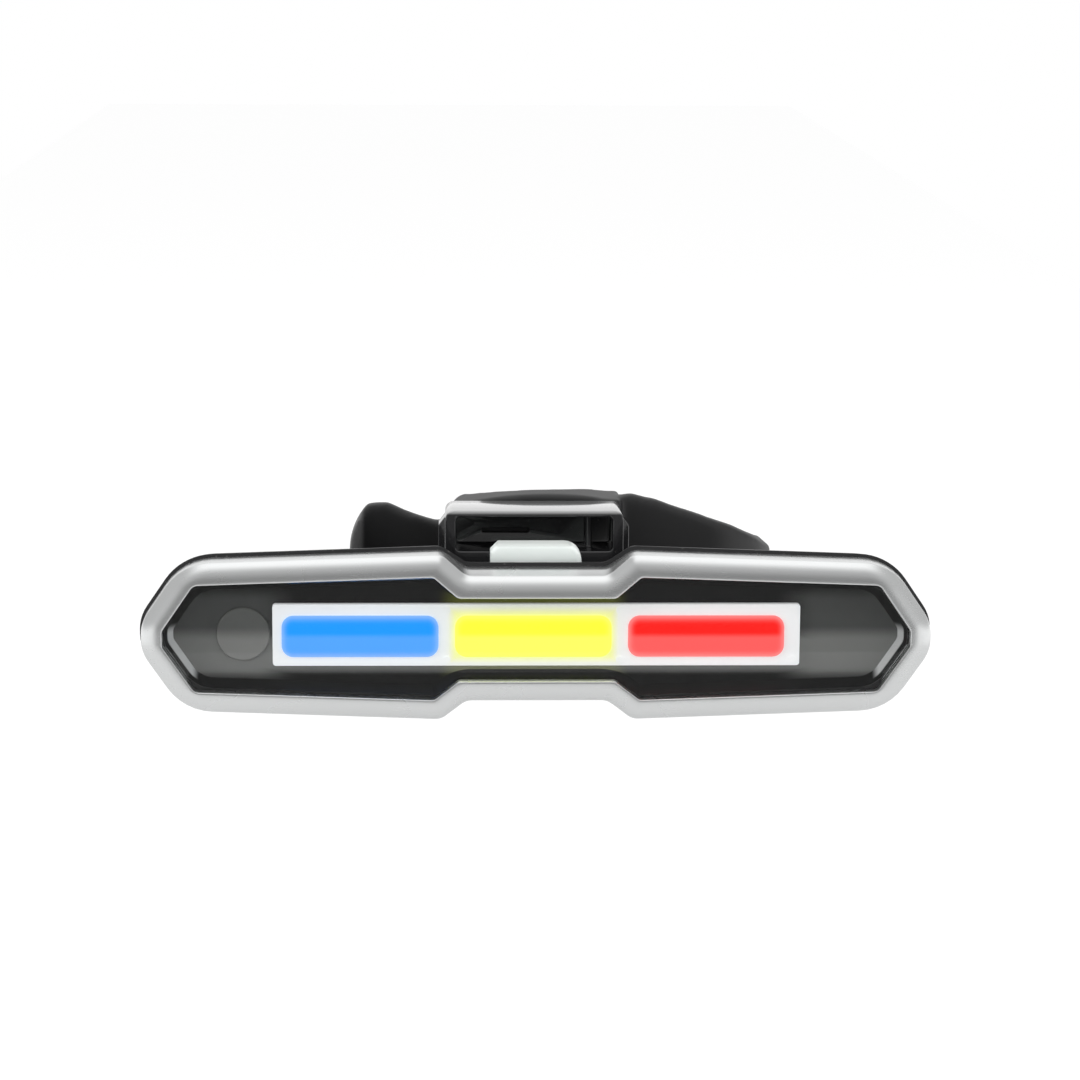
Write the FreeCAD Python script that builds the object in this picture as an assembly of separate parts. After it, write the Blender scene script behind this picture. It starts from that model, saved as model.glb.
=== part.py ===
import FreeCAD, Part
import math
import os

# Bar-shaped bicycle tail light with a swivel bracket and a rubber seat-post strap.
# Millimetres. Z is up, X runs along the bar, and the lamp faces -Y.
# The origin is on the axis of the seat post, level with the lamp's swivel.
# A "depth" is measured backwards from the front of the bezel.

Vector = FreeCAD.Vector

# Fits
slip_gap = 0.10            # between pieces that slip into each other
touch_gap = 0.05           # between faces that are pressed together
swing_gap = 0.30           # between pieces that swing past each other

# Lamp outline, seen from the front
body_length = 100.4
end_flat = 3.7             # upright flat at each end, before its corners are rounded
tip_radius = 5.0
brow_inset = 5.3           # from the tip in to the corner where an end's slope meets the long side
brow_height = 19.1
brow_radius = 7.2
shoulder_span = 24.4       # between the shoulder corners beside the waist
shoulder_height = 21.4
waist_span = 18.0
waist_height = 17.1
corner_radius = 2.2        # at the shoulders and the waist
least_radius = 0.3

# Place of the lamp in front of the post
lamp_reach = 41.0          # from the post's axis to the front of the bezel

# Front bezel
bezel_depth = 5.0
bezel_wall = 1.2
bezel_band = 2.8           # width of the frame seen from the front
bezel_lip = 1.2            # thickness of the band
bezel_round = 1.5
bezel_slope = 0.5          # how much wider the window is at the very front

# Lens and its seal
lens_flange = 1.0
lens_rise = 0.7            # the window stands this far forward of its flange
lens_bevel = 1.2
seal_thickness = 0.35
seal_width = 1.6

# Reflector tray
tray_flange = 0.8
tray_draft = 1.1           # the side walls lean in this much on the way down
tray_wall = 0.9
tray_floor = 0.8
tray_boss_length = 3.15

# Lamp board and its strips of light
board_end_gap = 16.6       # from the lamp's tip in to the board
board_height = 7.9
board_thickness = 1.0
board_corner = 0.4
strip_gap = 2.1            # between neighbouring strips
strip_left_gap = 1.15      # from the board's left end to the first strip
strip_right_gap = 2.0      # and from the last strip to its right end
strip_height = 5.6
strip_thickness = 0.7
strip_clearance = 0.2      # between the lens and the strips
strip_corner = 1.5
strip_round = 0.4
strip_colours = ("blue", "yellow", "red")
pad_size = 0.9
pad_thickness = 0.12
pad_height = 6.4           # between the upper and the lower row of pads
pad_end_inset = 0.9        # from the board's end in to the last pads

# Round indicator window at the left end
indicator_inset = 12.8     # from the lamp's left tip
indicator_radius = 3.4
indicator_stand = 0.4
indicator_stem_radius = 1.5
indicator_lamp_length = 1.6
indicator_lamp_width = 0.8
indicator_lamp_height = 0.6

# Rear casing
casing_depth = 13.2
casing_rim = 0.4           # the casing's front edge stands this far outside the bezel
casing_draft = 1.0         # and the casing narrows by this much from there to the bevel
casing_bevel_length = 2.4
casing_bevel = 2.5
casing_wall = 1.3
spigot_wall = 0.9

# Screws of the casing
casing_screw_inset = 6.6   # from the lamp's tips
screw_boss_radius = 1.8
screw_radius = 0.8
screw_pilot = 0.85
screw_head_radius = 1.5
screw_head_height = 1.0
screw_bite = 1.5           # how far the casing's screws reach into the tray
slot_width = 0.4
slot_depth = 0.45

# Main circuit board
circuit_beside = 1.0       # how far it reaches to the left of the indicator
circuit_right = 6.8
circuit_height = 10.0
circuit_thickness = 0.8
circuit_room = 1.1         # from its back to the casing's inside
circuit_screw_x = -12.0
circuit_screw_z = 3.2
circuit_post_radius = 1.6
circuit_screw_length = 2.0
chip_size = 4.0
chip_height = 1.0
chip_x = -6.6
coil_radius = 2.0
coil_height = 1.8
coil_x = -17.4
coil_z = 2.2
small_part_length = 1.6
small_part_width = 0.8
small_part_height = 0.6
small_part_pitch = 1.8
small_part_count = 4
small_part_x = -19.4       # the first of the row
chip_edge = 0.1
coil_edge = 0.2

# Battery
battery_left = 11.6
battery_inset = 8.8        # from the lamp's right tip
battery_height = 12.0
battery_thickness = 3.6
battery_edge = 0.8
foam_thickness = 1.5       # pad between the battery and the casing
foam_margin = 2.6
foam_height = 8.4

# Wires
lead_radius = 0.4
lead_bend = 0.9
lead_count = 4             # between the two boards
lead_inset = 2.7           # from the lamp board's left end
lead_pitch = 1.2
lead_slot_corner = 0.6
battery_lead_z = 1.6
battery_lead_inset = 1.2   # from the circuit board's end in to the battery's wires

# Power button, on top of the waist
button_width = 11.7
button_breadth = 3.6
button_ahead = 3.1         # from the circuit board's front forward to the button's
button_top = 10.9
button_chamfer = 1.0       # at its left end
button_round = 2.2         # at its right end
button_flange = 0.6
button_flange_height = 0.75
button_flange_top = 6.6
button_travel = 0.5

# Switch under the button
switch_width = 4.4
switch_length = 2.6        # from the circuit board's front forward
switch_bottom = 1.8
switch_top = 4.7
plunger_width = 1.8
plunger_breadth = 1.2
plunger_length = 2.0

# Charging socket on the underside and its rubber cover
socket_x = -24.0
socket_width = 7.5
socket_thickness = 2.5
socket_length = 5.2
socket_shell = 0.3
socket_mouth_z = -8.4
tongue_thickness = 0.6
tongue_margin = 0.7
cover_length = 11.4
cover_breadth = 3.6
cover_thickness = 0.8
cover_face_z = -9.95
cover_plug_inset = 0.3
cover_plug_length = 0.8
cover_pull = 1.2
cover_lip = 0.4
cover_lip_breadth = 3.2
anchor_length = 2.4

# Swivel
boss_radius = 6.5
boss_height = 1.4
insert_radius = 2.0
insert_length = 3.3
insert_boss_radius = 3.2
pivot_screw_radius = 1.5
pivot_bore_radius = 1.55
pivot_sleeve_radius = 2.5
pivot_head_radius = 3.0
pivot_head_height = 1.6
pivot_hex = 2.0
pivot_hex_depth = 1.0
pivot_grip = 2.4           # length of screw in the insert
hub_thickness = 2.2
washer_radius = 4.3
washer_thickness = 0.25
washer_cone = 0.15

# Bracket
bracket_width = 23.2
bracket_top = 13.95
bracket_bottom = -11.0
bracket_depth = 7.8
bracket_corner = 1.2
pocket_corner = 0.6
bracket_rim = 0.9
bracket_side = 1.4
bracket_back = 1.2
hub_top = 8.6
hub_wall = 1.2
rib_x = 7.2
rib_thickness = 0.8
rib_depth = 3.6
vent_length = 6.2
vent_height = 0.5
vent_x = -3.6
vent_z = 10.2
ear_reach = 0.9
ear_depth = 3.3            # from the bracket's front
ear_thickness = 3.5
ear_top = 11.4
ear_bottom = -8.2
ear_slope = 1.3

# Strap
post_radius = 13.6         # seat post of 27.2 mm
saddle_half_width = 11.8
saddle_depth = 30.6
lip_half_width = 12.9      # the saddle's lips reach on round the post, lower than the saddle
lip_depth = 34.3
lip_height = 17.4
strap_thickness = 2.2
plug_length = 3.1
strap_set_back = 3.05      # from the saddle's front to the strap's middle where it leaves the saddle
strap_overlap = 1.0        # the tail and the grip start this far inside the saddle
tail_heading_angle = 13.5
tail_run = 13.1
tail_bend_radius = 11.0
tail_bend_angle = 100
tail_straight = 8.0
tail_curl_radius = 16.0
tail_curl_angle = 60
tail_end_run = 11.0
tail_width = 9.4
grip_reach = 24.2          # from the lamp's middle out to the grip's edge
grip_edge_height = 7.8     # straight part of that edge, over the strap's middle line
grip_top = 13.15
grip_top_reach = 21.8      # the grip's flat top runs from here
grip_top_end = 19.2        # to here
grip_bow = 0.55            # how far the rounded corner bulges
valley_reach = 12.2        # low place between the grip and the saddle
valley_height = 10.6
valley_bow = 0.2
crown_reach = 9.2          # the saddle's crown starts here at the left
crown_left_height = 13.4
crown_end = 13.0           # and ends here at the right
crown_right_height = 13.85
crown_bow = 0.94
slope_reach = 29.5         # from the crown the edge slopes down to here
slope_height = 7.75
slope_bow = 0.5
tail_reach = 33.4          # and then to the tail's own width here
neck_bow = 0.35
strap_lower_share = 0.87   # height of the wide part's lower half over its upper half
wing_heading_angle = 178
wing_run = 7.4
wing_bend_radius = 7.0
wing_bend_angle = 50
wing_end_run = 1.2
bead_radius = 1.7
hole_radius = 1.6
hole_pitch = 7.0
hole_count = 5
first_hole = 31.0          # along the tail from the saddle
stud_x = -17.0
stud_radius = 1.4
stud_head_radius = 2.3
stud_head_height = 1.0
stud_foot_height = 0.6
stud_neck = 2.6            # room for the tail under the stud's head


def y_at(depth):
    return depth - lamp_reach


def inset_corners(corners, inset):
    """Move every edge of a counter-clockwise outline inwards and return the new corners."""
    moved = []
    count = len(corners)
    for i in range(count):
        before, here, after = corners[i - 1], corners[i], corners[(i + 1) % count]
        edge_in = unit(here[0] - before[0], here[1] - before[1])
        edge_out = unit(after[0] - here[0], after[1] - here[1])
        turn = edge_in[0] * edge_out[1] - edge_in[1] * edge_out[0]
        lean = 1 + edge_in[0] * edge_out[0] + edge_in[1] * edge_out[1]
        if abs(turn) < 1e-9:
            shift = (-edge_in[1], edge_in[0])
        else:
            shift = ((-edge_in[1] - edge_out[1]) / lean, (edge_in[0] + edge_out[0]) / lean)
        moved.append((here[0] + inset * shift[0], here[1] + inset * shift[1]))
    return moved


def unit(a, b):
    length = math.hypot(a, b)
    return a / length, b / length


def rounded_wire(corners, radii, place):
    """Closed outline with an arc at each corner; place turns a pair of coordinates into a point."""
    edges = []
    starts, ends, middles = [], [], []
    count = len(corners)
    for i in range(count):
        before, here, after = corners[i - 1], corners[i], corners[(i + 1) % count]
        back = unit(before[0] - here[0], before[1] - here[1])
        ahead = unit(after[0] - here[0], after[1] - here[1])
        half = math.acos(max(-1, min(1, back[0] * ahead[0] + back[1] * ahead[1]))) / 2
        reach = radii[i] / math.tan(half)
        bisector = unit(back[0] + ahead[0], back[1] + ahead[1])
        to_arc = radii[i] / math.sin(half) - radii[i]
        starts.append((here[0] + back[0] * reach, here[1] + back[1] * reach))
        ends.append((here[0] + ahead[0] * reach, here[1] + ahead[1] * reach))
        middles.append((here[0] + bisector[0] * to_arc, here[1] + bisector[1] * to_arc))
    for i in range(count):
        edges.append(Part.Arc(place(starts[i]), place(middles[i]), place(ends[i])).toShape())
        edges.append(Part.LineSegment(place(ends[i]), place(starts[(i + 1) % count])).toShape())
    return Part.Wire(edges)


def in_front_view(depth):
    return lambda pair: Vector(pair[0], y_at(depth), pair[1])


def lamp_corners():
    """Corners of the lamp outline and their radii, counter-clockwise in X and Z."""
    quarter = [
        (half_length, end_flat / 2, tip_radius),
        (half_length - brow_inset, brow_height / 2, brow_radius),
        (shoulder_span / 2, shoulder_height / 2, corner_radius),
        (waist_span / 2, waist_height / 2, -corner_radius),
    ]
    top = quarter + [(-x, z, radius) for x, z, radius in reversed(quarter)]
    return top + [(-x, -z, radius) for x, z, radius in top]


def lamp_wire(inset, depth):
    """The lamp outline moved inwards; the hollow corners of the waist have negative radii."""
    corners, radii = [], []
    for x, z, radius in lamp_corners():
        corners.append((x, z))
        radii.append(inset - radius if radius < 0 else max(radius - inset, least_radius))
    return rounded_wire(inset_corners(corners, inset), radii, in_front_view(depth))


def lamp_slab(inset, start, end):
    return Part.Face(lamp_wire(inset, start)).extrude(Vector(0, end - start, 0))


def lamp_taper(first_inset, start, last_inset, end):
    return Part.makeLoft([lamp_wire(first_inset, start), lamp_wire(last_inset, end)], True, True)


def block(x_range, z_range, depth_range):
    size = [high - low for low, high in (x_range, depth_range, z_range)]
    return Part.makeBox(*size, Vector(x_range[0], y_at(depth_range[0]), z_range[0]))


def around(middle, size):
    return middle - size / 2, middle + size / 2


def tile(x_range, z_range, depth_range, radius):
    """Block with its four edges along Y rounded."""
    corners = [
        (x_range[0], z_range[0]),
        (x_range[1], z_range[0]),
        (x_range[1], z_range[1]),
        (x_range[0], z_range[1]),
    ]
    face = Part.Face(rounded_wire(corners, [radius] * 4, in_front_view(depth_range[0])))
    return face.extrude(Vector(0, depth_range[1] - depth_range[0], 0))


def rod(radius, x, z, start, end):
    return Part.makeCylinder(radius, end - start, Vector(x, y_at(start), z), Vector(0, 1, 0))


def edges_at(shape, axis, value):
    """Edges that lie wholly in one plane across an axis."""
    found = []
    for edge in shape.Edges:
        box = edge.BoundBox
        low, high = (box.YMin, box.YMax) if axis == "y" else (box.ZMin, box.ZMax)
        if abs(low - value) < 1e-4 and abs(high - value) < 1e-4:
            found.append(edge)
    return found


def lead(points):
    """Insulated wire: straight runs joined by arcs that touch both."""
    edges = []
    at = points[0]
    for i in range(1, len(points) - 1):
        back = (points[i - 1] - points[i]).normalize()
        ahead = (points[i + 1] - points[i]).normalize()
        half = back.getAngle(ahead) / 2
        reach = lead_bend / math.tan(half)
        bisector = (back + ahead).normalize()
        start = points[i] + back * reach
        end = points[i] + ahead * reach
        middle = points[i] + bisector * (lead_bend / math.sin(half) - lead_bend)
        edges.append(Part.LineSegment(at, start).toShape())
        edges.append(Part.Arc(start, middle, end).toShape())
        at = end
    edges.append(Part.LineSegment(at, points[-1]).toShape())
    first = (points[1] - points[0]).normalize()
    section = Part.Wire([Part.makeCircle(lead_radius, points[0], first)])
    return Part.Wire(edges).makePipeShell([section], True, True)


# Depths that follow from the sizes above
lens_front = bezel_lip + touch_gap
lens_back = lens_front + lens_flange
seal_front = lens_back + touch_gap
seal_back = seal_front + seal_thickness
tray_front = seal_back + touch_gap
tray_flange_back = tray_front + tray_flange
board_depth = lens_back + strip_clearance + strip_thickness
floor_front = board_depth + board_thickness
floor_back = floor_front + tray_floor
spigot_front = tray_flange_back + touch_gap
inner_inset = bezel_wall + slip_gap
spigot_inset = inner_inset + spigot_wall
window_inset = bezel_band + slip_gap
floor_inset = window_inset + tray_draft
cavity_back = casing_depth - casing_wall
wall_middle = casing_depth - casing_wall / 2
casing_bevel_start = casing_depth - casing_bevel_length
circuit_back = cavity_back - circuit_room
circuit_depth = circuit_back - circuit_thickness
button_depth = circuit_depth - button_ahead
switch_depth = circuit_depth - switch_length
battery_depth = cavity_back - 2 * touch_gap - foam_thickness - battery_thickness
boss_face = casing_depth + boss_height
bracket_front = boss_face + slip_gap
hub_back = bracket_front + hub_thickness
washer_front = hub_back + touch_gap
head_front = washer_front + washer_thickness + washer_cone + touch_gap
bracket_rear = bracket_front + bracket_depth
saddle_front = bracket_rear + touch_gap
strap_depth = saddle_front + strap_set_back
boss_joint = floor_back + tray_boss_length
casing_screw_head = casing_depth - touch_gap
casing_screw_length = casing_screw_head - boss_joint + screw_bite
rear_pocket_z = (bracket_bottom + hub_wall, hub_top - hub_wall)
insert_front = boss_face - touch_gap - insert_length

# Places that follow from the sizes above
half_length = body_length / 2
board_length = body_length - 2 * board_end_gap
strip_room = board_length - strip_left_gap - strip_right_gap - 2 * strip_gap
strip_length = strip_room / len(strip_colours)
strip_pitch = strip_length + strip_gap
strip_shift = (strip_left_gap - strip_right_gap) / 2
indicator_x = indicator_inset - half_length
casing_screw_x = half_length - casing_screw_inset
circuit_left = indicator_x - indicator_radius - circuit_beside
battery_length = half_length - battery_inset - battery_left
lead_x = lead_inset - board_length / 2
strap_blank = 2 * (crown_right_height + crown_bow + slope_bow)
plunger_top = button_flange_top - button_flange_height - 2 * touch_gap
lead_row = (lead_count - 1) * lead_pitch + 4 * lead_radius
lead_foot_x = circuit_right - battery_lead_inset


def front_bezel():
    ring = lamp_slab(0, 0, bezel_depth)
    ring = ring.makeFillet(bezel_round, edges_at(ring, "y", y_at(0)))
    window = lamp_taper(bezel_band - bezel_slope, -touch_gap, bezel_band, bezel_lip)
    inside = lamp_slab(bezel_wall, bezel_lip, bezel_depth + touch_gap)
    return ring.cut([window, inside])


def front_lens():
    flange = lamp_slab(inner_inset, lens_front, lens_back)
    pane = lamp_taper(window_inset + lens_bevel, lens_front - lens_rise, window_inset, lens_front)
    return flange.fuse(pane).removeSplitter()


def lens_seal():
    outer = lamp_slab(inner_inset, seal_front, seal_back)
    return outer.cut(lamp_slab(inner_inset + seal_width, seal_front, seal_back))


def reflector_tray():
    flange = lamp_slab(inner_inset, tray_front, tray_flange_back)
    bowl = lamp_taper(
        window_inset - tray_wall + slip_gap,
        tray_front,
        floor_inset - tray_wall + slip_gap,
        floor_back,
    )
    hollow = lamp_taper(window_inset, tray_front, floor_inset, floor_front)
    tray = flange.fuse(bowl).cut(hollow)
    for x in (-casing_screw_x, casing_screw_x):
        tray = tray.fuse(rod(screw_boss_radius, x, 0, floor_front, boss_joint))
        tray = tray.cut(rod(screw_pilot, x, 0, floor_back, boss_joint))
    stem_hole = rod(indicator_stem_radius + touch_gap, indicator_x, 0, floor_front, floor_back)
    floor = (floor_front, floor_back)
    lead_slot = tile(around(lead_x, 4 * lead_radius), around(0, lead_row), floor, lead_slot_corner)
    return tray.cut([stem_hole, lead_slot]).removeSplitter()


def led_board():
    depths = (board_depth, floor_front - touch_gap)
    return tile(around(0, board_length), around(0, board_height), depths, board_corner)


def led_strip(number):
    """Row of light-emitting chips under one rounded bar of coloured gel."""
    x = strip_shift + (number - 1) * strip_pitch
    depths = (board_depth - strip_thickness, board_depth)
    strip = tile(around(x, strip_length), around(0, strip_height), depths, strip_corner)
    return strip.makeFillet(strip_round, edges_at(strip, "y", y_at(depths[0])))


def board_pads():
    gap_places = [strip_shift + side * strip_pitch / 2 for side in (-1, 1)]
    places = gap_places + [board_length / 2 - pad_end_inset]
    pads = []
    for x in places:
        for z in (-pad_height / 2, pad_height / 2):
            pads.append(rod(pad_size / 2, x, z, board_depth - pad_thickness, board_depth))
    return Part.makeCompound(pads)


def indicator_window():
    face = rod(indicator_radius, indicator_x, 0, floor_front - indicator_stand, floor_front - touch_gap)
    face = face.makeFillet(indicator_stand / 2, edges_at(face, "y", y_at(floor_front - indicator_stand)))
    end = circuit_depth - indicator_lamp_height - slip_gap
    stem = rod(indicator_stem_radius, indicator_x, 0, floor_front - 2 * touch_gap, end)
    return face.fuse(stem).removeSplitter()


def indicator_lamp():
    depths = (circuit_depth - indicator_lamp_height, circuit_depth)
    return block(around(indicator_x, indicator_lamp_length), around(0, indicator_lamp_width), depths)


def casing_shell():
    bevel_inset = casing_draft - casing_rim
    outside = lamp_taper(-casing_rim, bezel_depth + touch_gap, bevel_inset, casing_bevel_start)
    back = lamp_taper(bevel_inset, casing_bevel_start, bevel_inset + casing_bevel, casing_depth)
    spigot = lamp_slab(inner_inset, spigot_front, bezel_depth + 2 * touch_gap)
    hollow_step = casing_wall - casing_rim
    hollow_bend = casing_bevel_start - casing_wall / 2
    hollow_inset = hollow_step + casing_draft
    hollow = [
        lamp_slab(spigot_inset, spigot_front, bezel_depth + casing_wall),
        lamp_taper(hollow_step, bezel_depth + casing_wall, hollow_inset, hollow_bend),
        lamp_taper(hollow_inset, hollow_bend, hollow_inset + casing_bevel, cavity_back),
    ]
    return outside.fuse([back, spigot]).cut(hollow)


def button_opening():
    x_range = around(0, button_width + 2 * slip_gap)
    depths = around(button_depth + button_breadth / 2, button_breadth + 2 * slip_gap)
    low = button_flange_top - button_travel - 2 * slip_gap
    return block(x_range, (low, button_top), depths)


def socket_opening():
    """Hole for the plug, and the recess that the rubber cover lies in."""
    middle = circuit_depth - socket_thickness / 2
    way = block(
        around(socket_x, socket_width + 2 * slip_gap),
        (-shoulder_height / 2, socket_mouth_z + socket_length),
        around(middle, socket_thickness + 2 * slip_gap),
    )
    left = socket_x - cover_length / 2 - anchor_length - 2 * slip_gap
    right = socket_x + cover_length / 2 + slip_gap
    recess = block(
        (left, right),
        (-shoulder_height / 2, cover_face_z + cover_thickness + touch_gap),
        around(middle, cover_breadth + 2 * slip_gap),
    )
    return [way, recess]


def rear_casing():
    shell = casing_shell()
    bosses = [rod(boss_radius, 0, 0, cavity_back, boss_face)]
    bosses.append(rod(insert_boss_radius, 0, 0, circuit_back + slip_gap, casing_depth))
    holes = [rod(insert_radius + touch_gap, 0, 0, insert_front - touch_gap, boss_face)]
    for x in (-casing_screw_x, casing_screw_x):
        bosses.append(rod(screw_boss_radius, x, 0, boss_joint + touch_gap, cavity_back + touch_gap))
        holes.append(rod(screw_pilot, x, 0, boss_joint, casing_depth))
        seat = casing_depth - screw_head_height - 2 * touch_gap
        holes.append(rod(screw_head_radius + slip_gap, x, 0, seat, casing_depth))
    for z in (-circuit_screw_z, circuit_screw_z):
        bosses.append(rod(circuit_post_radius, circuit_screw_x, z, circuit_back + touch_gap, wall_middle))
        holes.append(rod(screw_pilot, circuit_screw_x, z, circuit_back, wall_middle))
    casing = shell.fuse(bosses).cut(holes)
    return casing.cut([button_opening()] + socket_opening()).removeSplitter()


def slotted_screw(x, z, head, length, towards):
    """Small pan-head screw; head is the depth of the head's outer face, towards is where it points."""
    under = head + towards * screw_head_height
    end = under + towards * length
    body = rod(screw_radius, x, z, min(under, end), max(under, end))
    cap = rod(screw_head_radius, x, z, min(head, under), max(head, under))
    slot_end = head + towards * slot_depth
    slot = block(
        around(x, 2 * screw_head_radius + slip_gap),
        around(z, slot_width),
        (min(head, slot_end), max(head, slot_end)),
    )
    return body.fuse(cap).cut(slot).removeSplitter()


def casing_screws():
    shank = casing_screw_length - screw_head_height
    places = (-casing_screw_x, casing_screw_x)
    return Part.makeCompound([slotted_screw(x, 0, casing_screw_head, shank, -1) for x in places])


def circuit_screws():
    head = circuit_depth - touch_gap - screw_head_height
    screws = []
    for z in (-circuit_screw_z, circuit_screw_z):
        screws.append(slotted_screw(circuit_screw_x, z, head, circuit_screw_length - touch_gap, 1))
    return Part.makeCompound(screws)


def main_circuit_board():
    depths = (circuit_depth, circuit_back)
    board = tile((circuit_left, circuit_right), around(0, circuit_height), depths, board_corner)
    holes = [rod(screw_pilot, circuit_screw_x, z, *depths) for z in (-circuit_screw_z, circuit_screw_z)]
    return board.cut(holes)


def control_chip():
    depths = (circuit_depth - chip_height, circuit_depth)
    chip = block(around(chip_x, chip_size), around(0, chip_size), depths)
    return chip.makeChamfer(chip_edge, edges_at(chip, "y", y_at(depths[0])))


def power_coil():
    coil = rod(coil_radius, coil_x, coil_z, circuit_depth - coil_height, circuit_depth)
    return coil.makeFillet(coil_edge, edges_at(coil, "y", y_at(circuit_depth - coil_height)))


def small_parts():
    parts = []
    for i in range(small_part_count):
        x = small_part_x + i * small_part_pitch
        depths = (circuit_depth - small_part_height, circuit_depth)
        parts.append(block(around(x, small_part_width), around(-coil_z, small_part_length), depths))
    return Part.makeCompound(parts)


def battery_cell():
    depths = (battery_depth, battery_depth + battery_thickness)
    x_range = (battery_left, battery_left + battery_length)
    return tile(x_range, around(0, battery_height), depths, battery_edge)


def battery_foam():
    start = battery_depth + battery_thickness + touch_gap
    x_range = (battery_left + foam_margin, battery_left + battery_length - foam_margin)
    return block(x_range, around(0, foam_height), (start, cavity_back - touch_gap))


def battery_leads():
    """Two wires from the end of the battery to the front of the circuit board."""
    leads = []
    out = battery_depth + battery_thickness / 2
    for z in (-battery_lead_z, battery_lead_z):
        leads.append(
            lead(
                [
                    Vector(battery_left, y_at(out), z),
                    Vector(lead_foot_x, y_at(out), z),
                    Vector(lead_foot_x, y_at(circuit_depth), z),
                ]
            )
        )
    return Part.makeCompound(leads)


def led_leads():
    """Four wires from the circuit board, through the tray, to the back of the lamp board."""
    leads = []
    for i in range(lead_count):
        z = (i - (lead_count - 1) / 2) * lead_pitch
        leads.append(rod(lead_radius, lead_x, z, floor_front, circuit_depth))
    return Part.makeCompound(leads)


def button_profile():
    """Front view of the button: a chamfer at the left end and a large round at the right end."""
    half = button_width / 2
    bottom = button_flange_top - touch_gap
    left_low = Vector(-half, y_at(button_depth), bottom)
    left_high = Vector(-half, y_at(button_depth), button_top - button_chamfer)
    top_left = Vector(-half + button_chamfer, y_at(button_depth), button_top)
    top_right = Vector(half - button_round, y_at(button_depth), button_top)
    slant = button_round * (1 - math.sqrt(0.5))
    round_middle = Vector(half - slant, y_at(button_depth), button_top - slant)
    right_high = Vector(half, y_at(button_depth), button_top - button_round)
    right_low = Vector(half, y_at(button_depth), bottom)
    edges = [
        Part.LineSegment(left_low, left_high),
        Part.LineSegment(left_high, top_left),
        Part.LineSegment(top_left, top_right),
        Part.Arc(top_right, round_middle, right_high),
        Part.LineSegment(right_high, right_low),
        Part.LineSegment(right_low, left_low),
    ]
    return Part.Face(Part.Wire([edge.toShape() for edge in edges]))


def power_button():
    body = button_profile().extrude(Vector(0, button_breadth, 0))
    depths = (button_depth - button_flange, button_depth + button_breadth - button_flange)
    low = button_flange_top - touch_gap - button_flange_height
    flange = block(around(0, button_width + 2 * button_flange), (low, low + button_flange_height), depths)
    return body.fuse(flange).removeSplitter()


def switch_body():
    depths = (switch_depth, circuit_depth - touch_gap)
    body = block(around(0, switch_width), (switch_bottom, switch_top), depths)
    well = block(
        around(0, plunger_width + 2 * slip_gap),
        (plunger_top - plunger_length - button_travel - slip_gap, switch_top),
        around((switch_depth + circuit_depth) / 2, plunger_breadth + 2 * slip_gap),
    )
    return body.cut(well)


def switch_plunger():
    depths = around((switch_depth + circuit_depth) / 2, plunger_breadth)
    return block(around(0, plunger_width), (plunger_top - plunger_length, plunger_top), depths)


def charging_socket():
    depths = (circuit_depth - socket_thickness, circuit_depth - touch_gap)
    z_range = (socket_mouth_z, socket_mouth_z + socket_length)
    shell = tile(around(socket_x, socket_width), z_range, depths, socket_shell)
    inside = block(
        around(socket_x, socket_width - 2 * socket_shell),
        (socket_mouth_z, z_range[1] - socket_shell),
        (depths[0] + socket_shell, depths[1] - socket_shell),
    )
    return shell.cut(inside)


def socket_tongue():
    middle = circuit_depth - socket_thickness / 2 + tongue_thickness
    z_low = socket_mouth_z + cover_plug_length + swing_gap
    width = socket_width - 2 * socket_shell - 2 * tongue_margin
    z_range = (z_low, socket_mouth_z + socket_length - socket_shell)
    return block(around(socket_x, width), z_range, around(middle, tongue_thickness))


def socket_cover():
    """Rubber flap in its recess, with a plug that closes the socket and a nail lip at the free end."""
    middle = circuit_depth - socket_thickness / 2
    x_range = (socket_x - cover_length / 2, socket_x + cover_length / 2)
    z_range = (cover_face_z, cover_face_z + cover_thickness)
    flap = block(x_range, z_range, around(middle, cover_breadth))
    plug = block(
        around(socket_x, socket_width - 2 * socket_shell - 2 * cover_plug_inset),
        (z_range[1], socket_mouth_z + cover_plug_length),
        around(middle, socket_thickness - 2 * socket_shell - 2 * slip_gap),
    )
    lip_x = (x_range[1] - cover_pull, x_range[1] - slip_gap)
    lip_z = (cover_face_z - cover_lip, cover_face_z)
    lip = block(lip_x, lip_z, around(middle, cover_lip_breadth))
    return flap.fuse([plug, lip]).removeSplitter()


def cover_anchor():
    """Fixed end of the rubber cover, pressed into the recess beside the flap."""
    middle = circuit_depth - socket_thickness / 2
    right = socket_x - cover_length / 2 - slip_gap
    z_range = (cover_face_z, cover_face_z + cover_thickness)
    return block((right - anchor_length, right), z_range, around(middle, cover_breadth))


def pivot_insert():
    outer = rod(insert_radius, 0, 0, insert_front, boss_face - touch_gap)
    return outer.cut(rod(pivot_bore_radius, 0, 0, insert_front, boss_face))


def pivot_sleeve():
    outer = rod(pivot_sleeve_radius, 0, 0, boss_face, head_front)
    return outer.cut(rod(pivot_bore_radius, 0, 0, boss_face, head_front))


def pivot_screw():
    head = rod(pivot_head_radius, 0, 0, head_front + touch_gap, head_front + pivot_head_height)
    shank = rod(pivot_screw_radius, 0, 0, boss_face - pivot_grip, head_front + pivot_head_height)
    top = y_at(head_front + pivot_head_height)
    hexagon = [
        Vector(
            pivot_hex / math.sqrt(3) * math.cos(math.radians(60 * i)),
            top,
            pivot_hex / math.sqrt(3) * math.sin(math.radians(60 * i)),
        )
        for i in range(7)
    ]
    socket = Part.Face(Part.makePolygon(hexagon)).extrude(Vector(0, -pivot_hex_depth, 0))
    return head.fuse(shank).cut(socket).removeSplitter()


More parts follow.
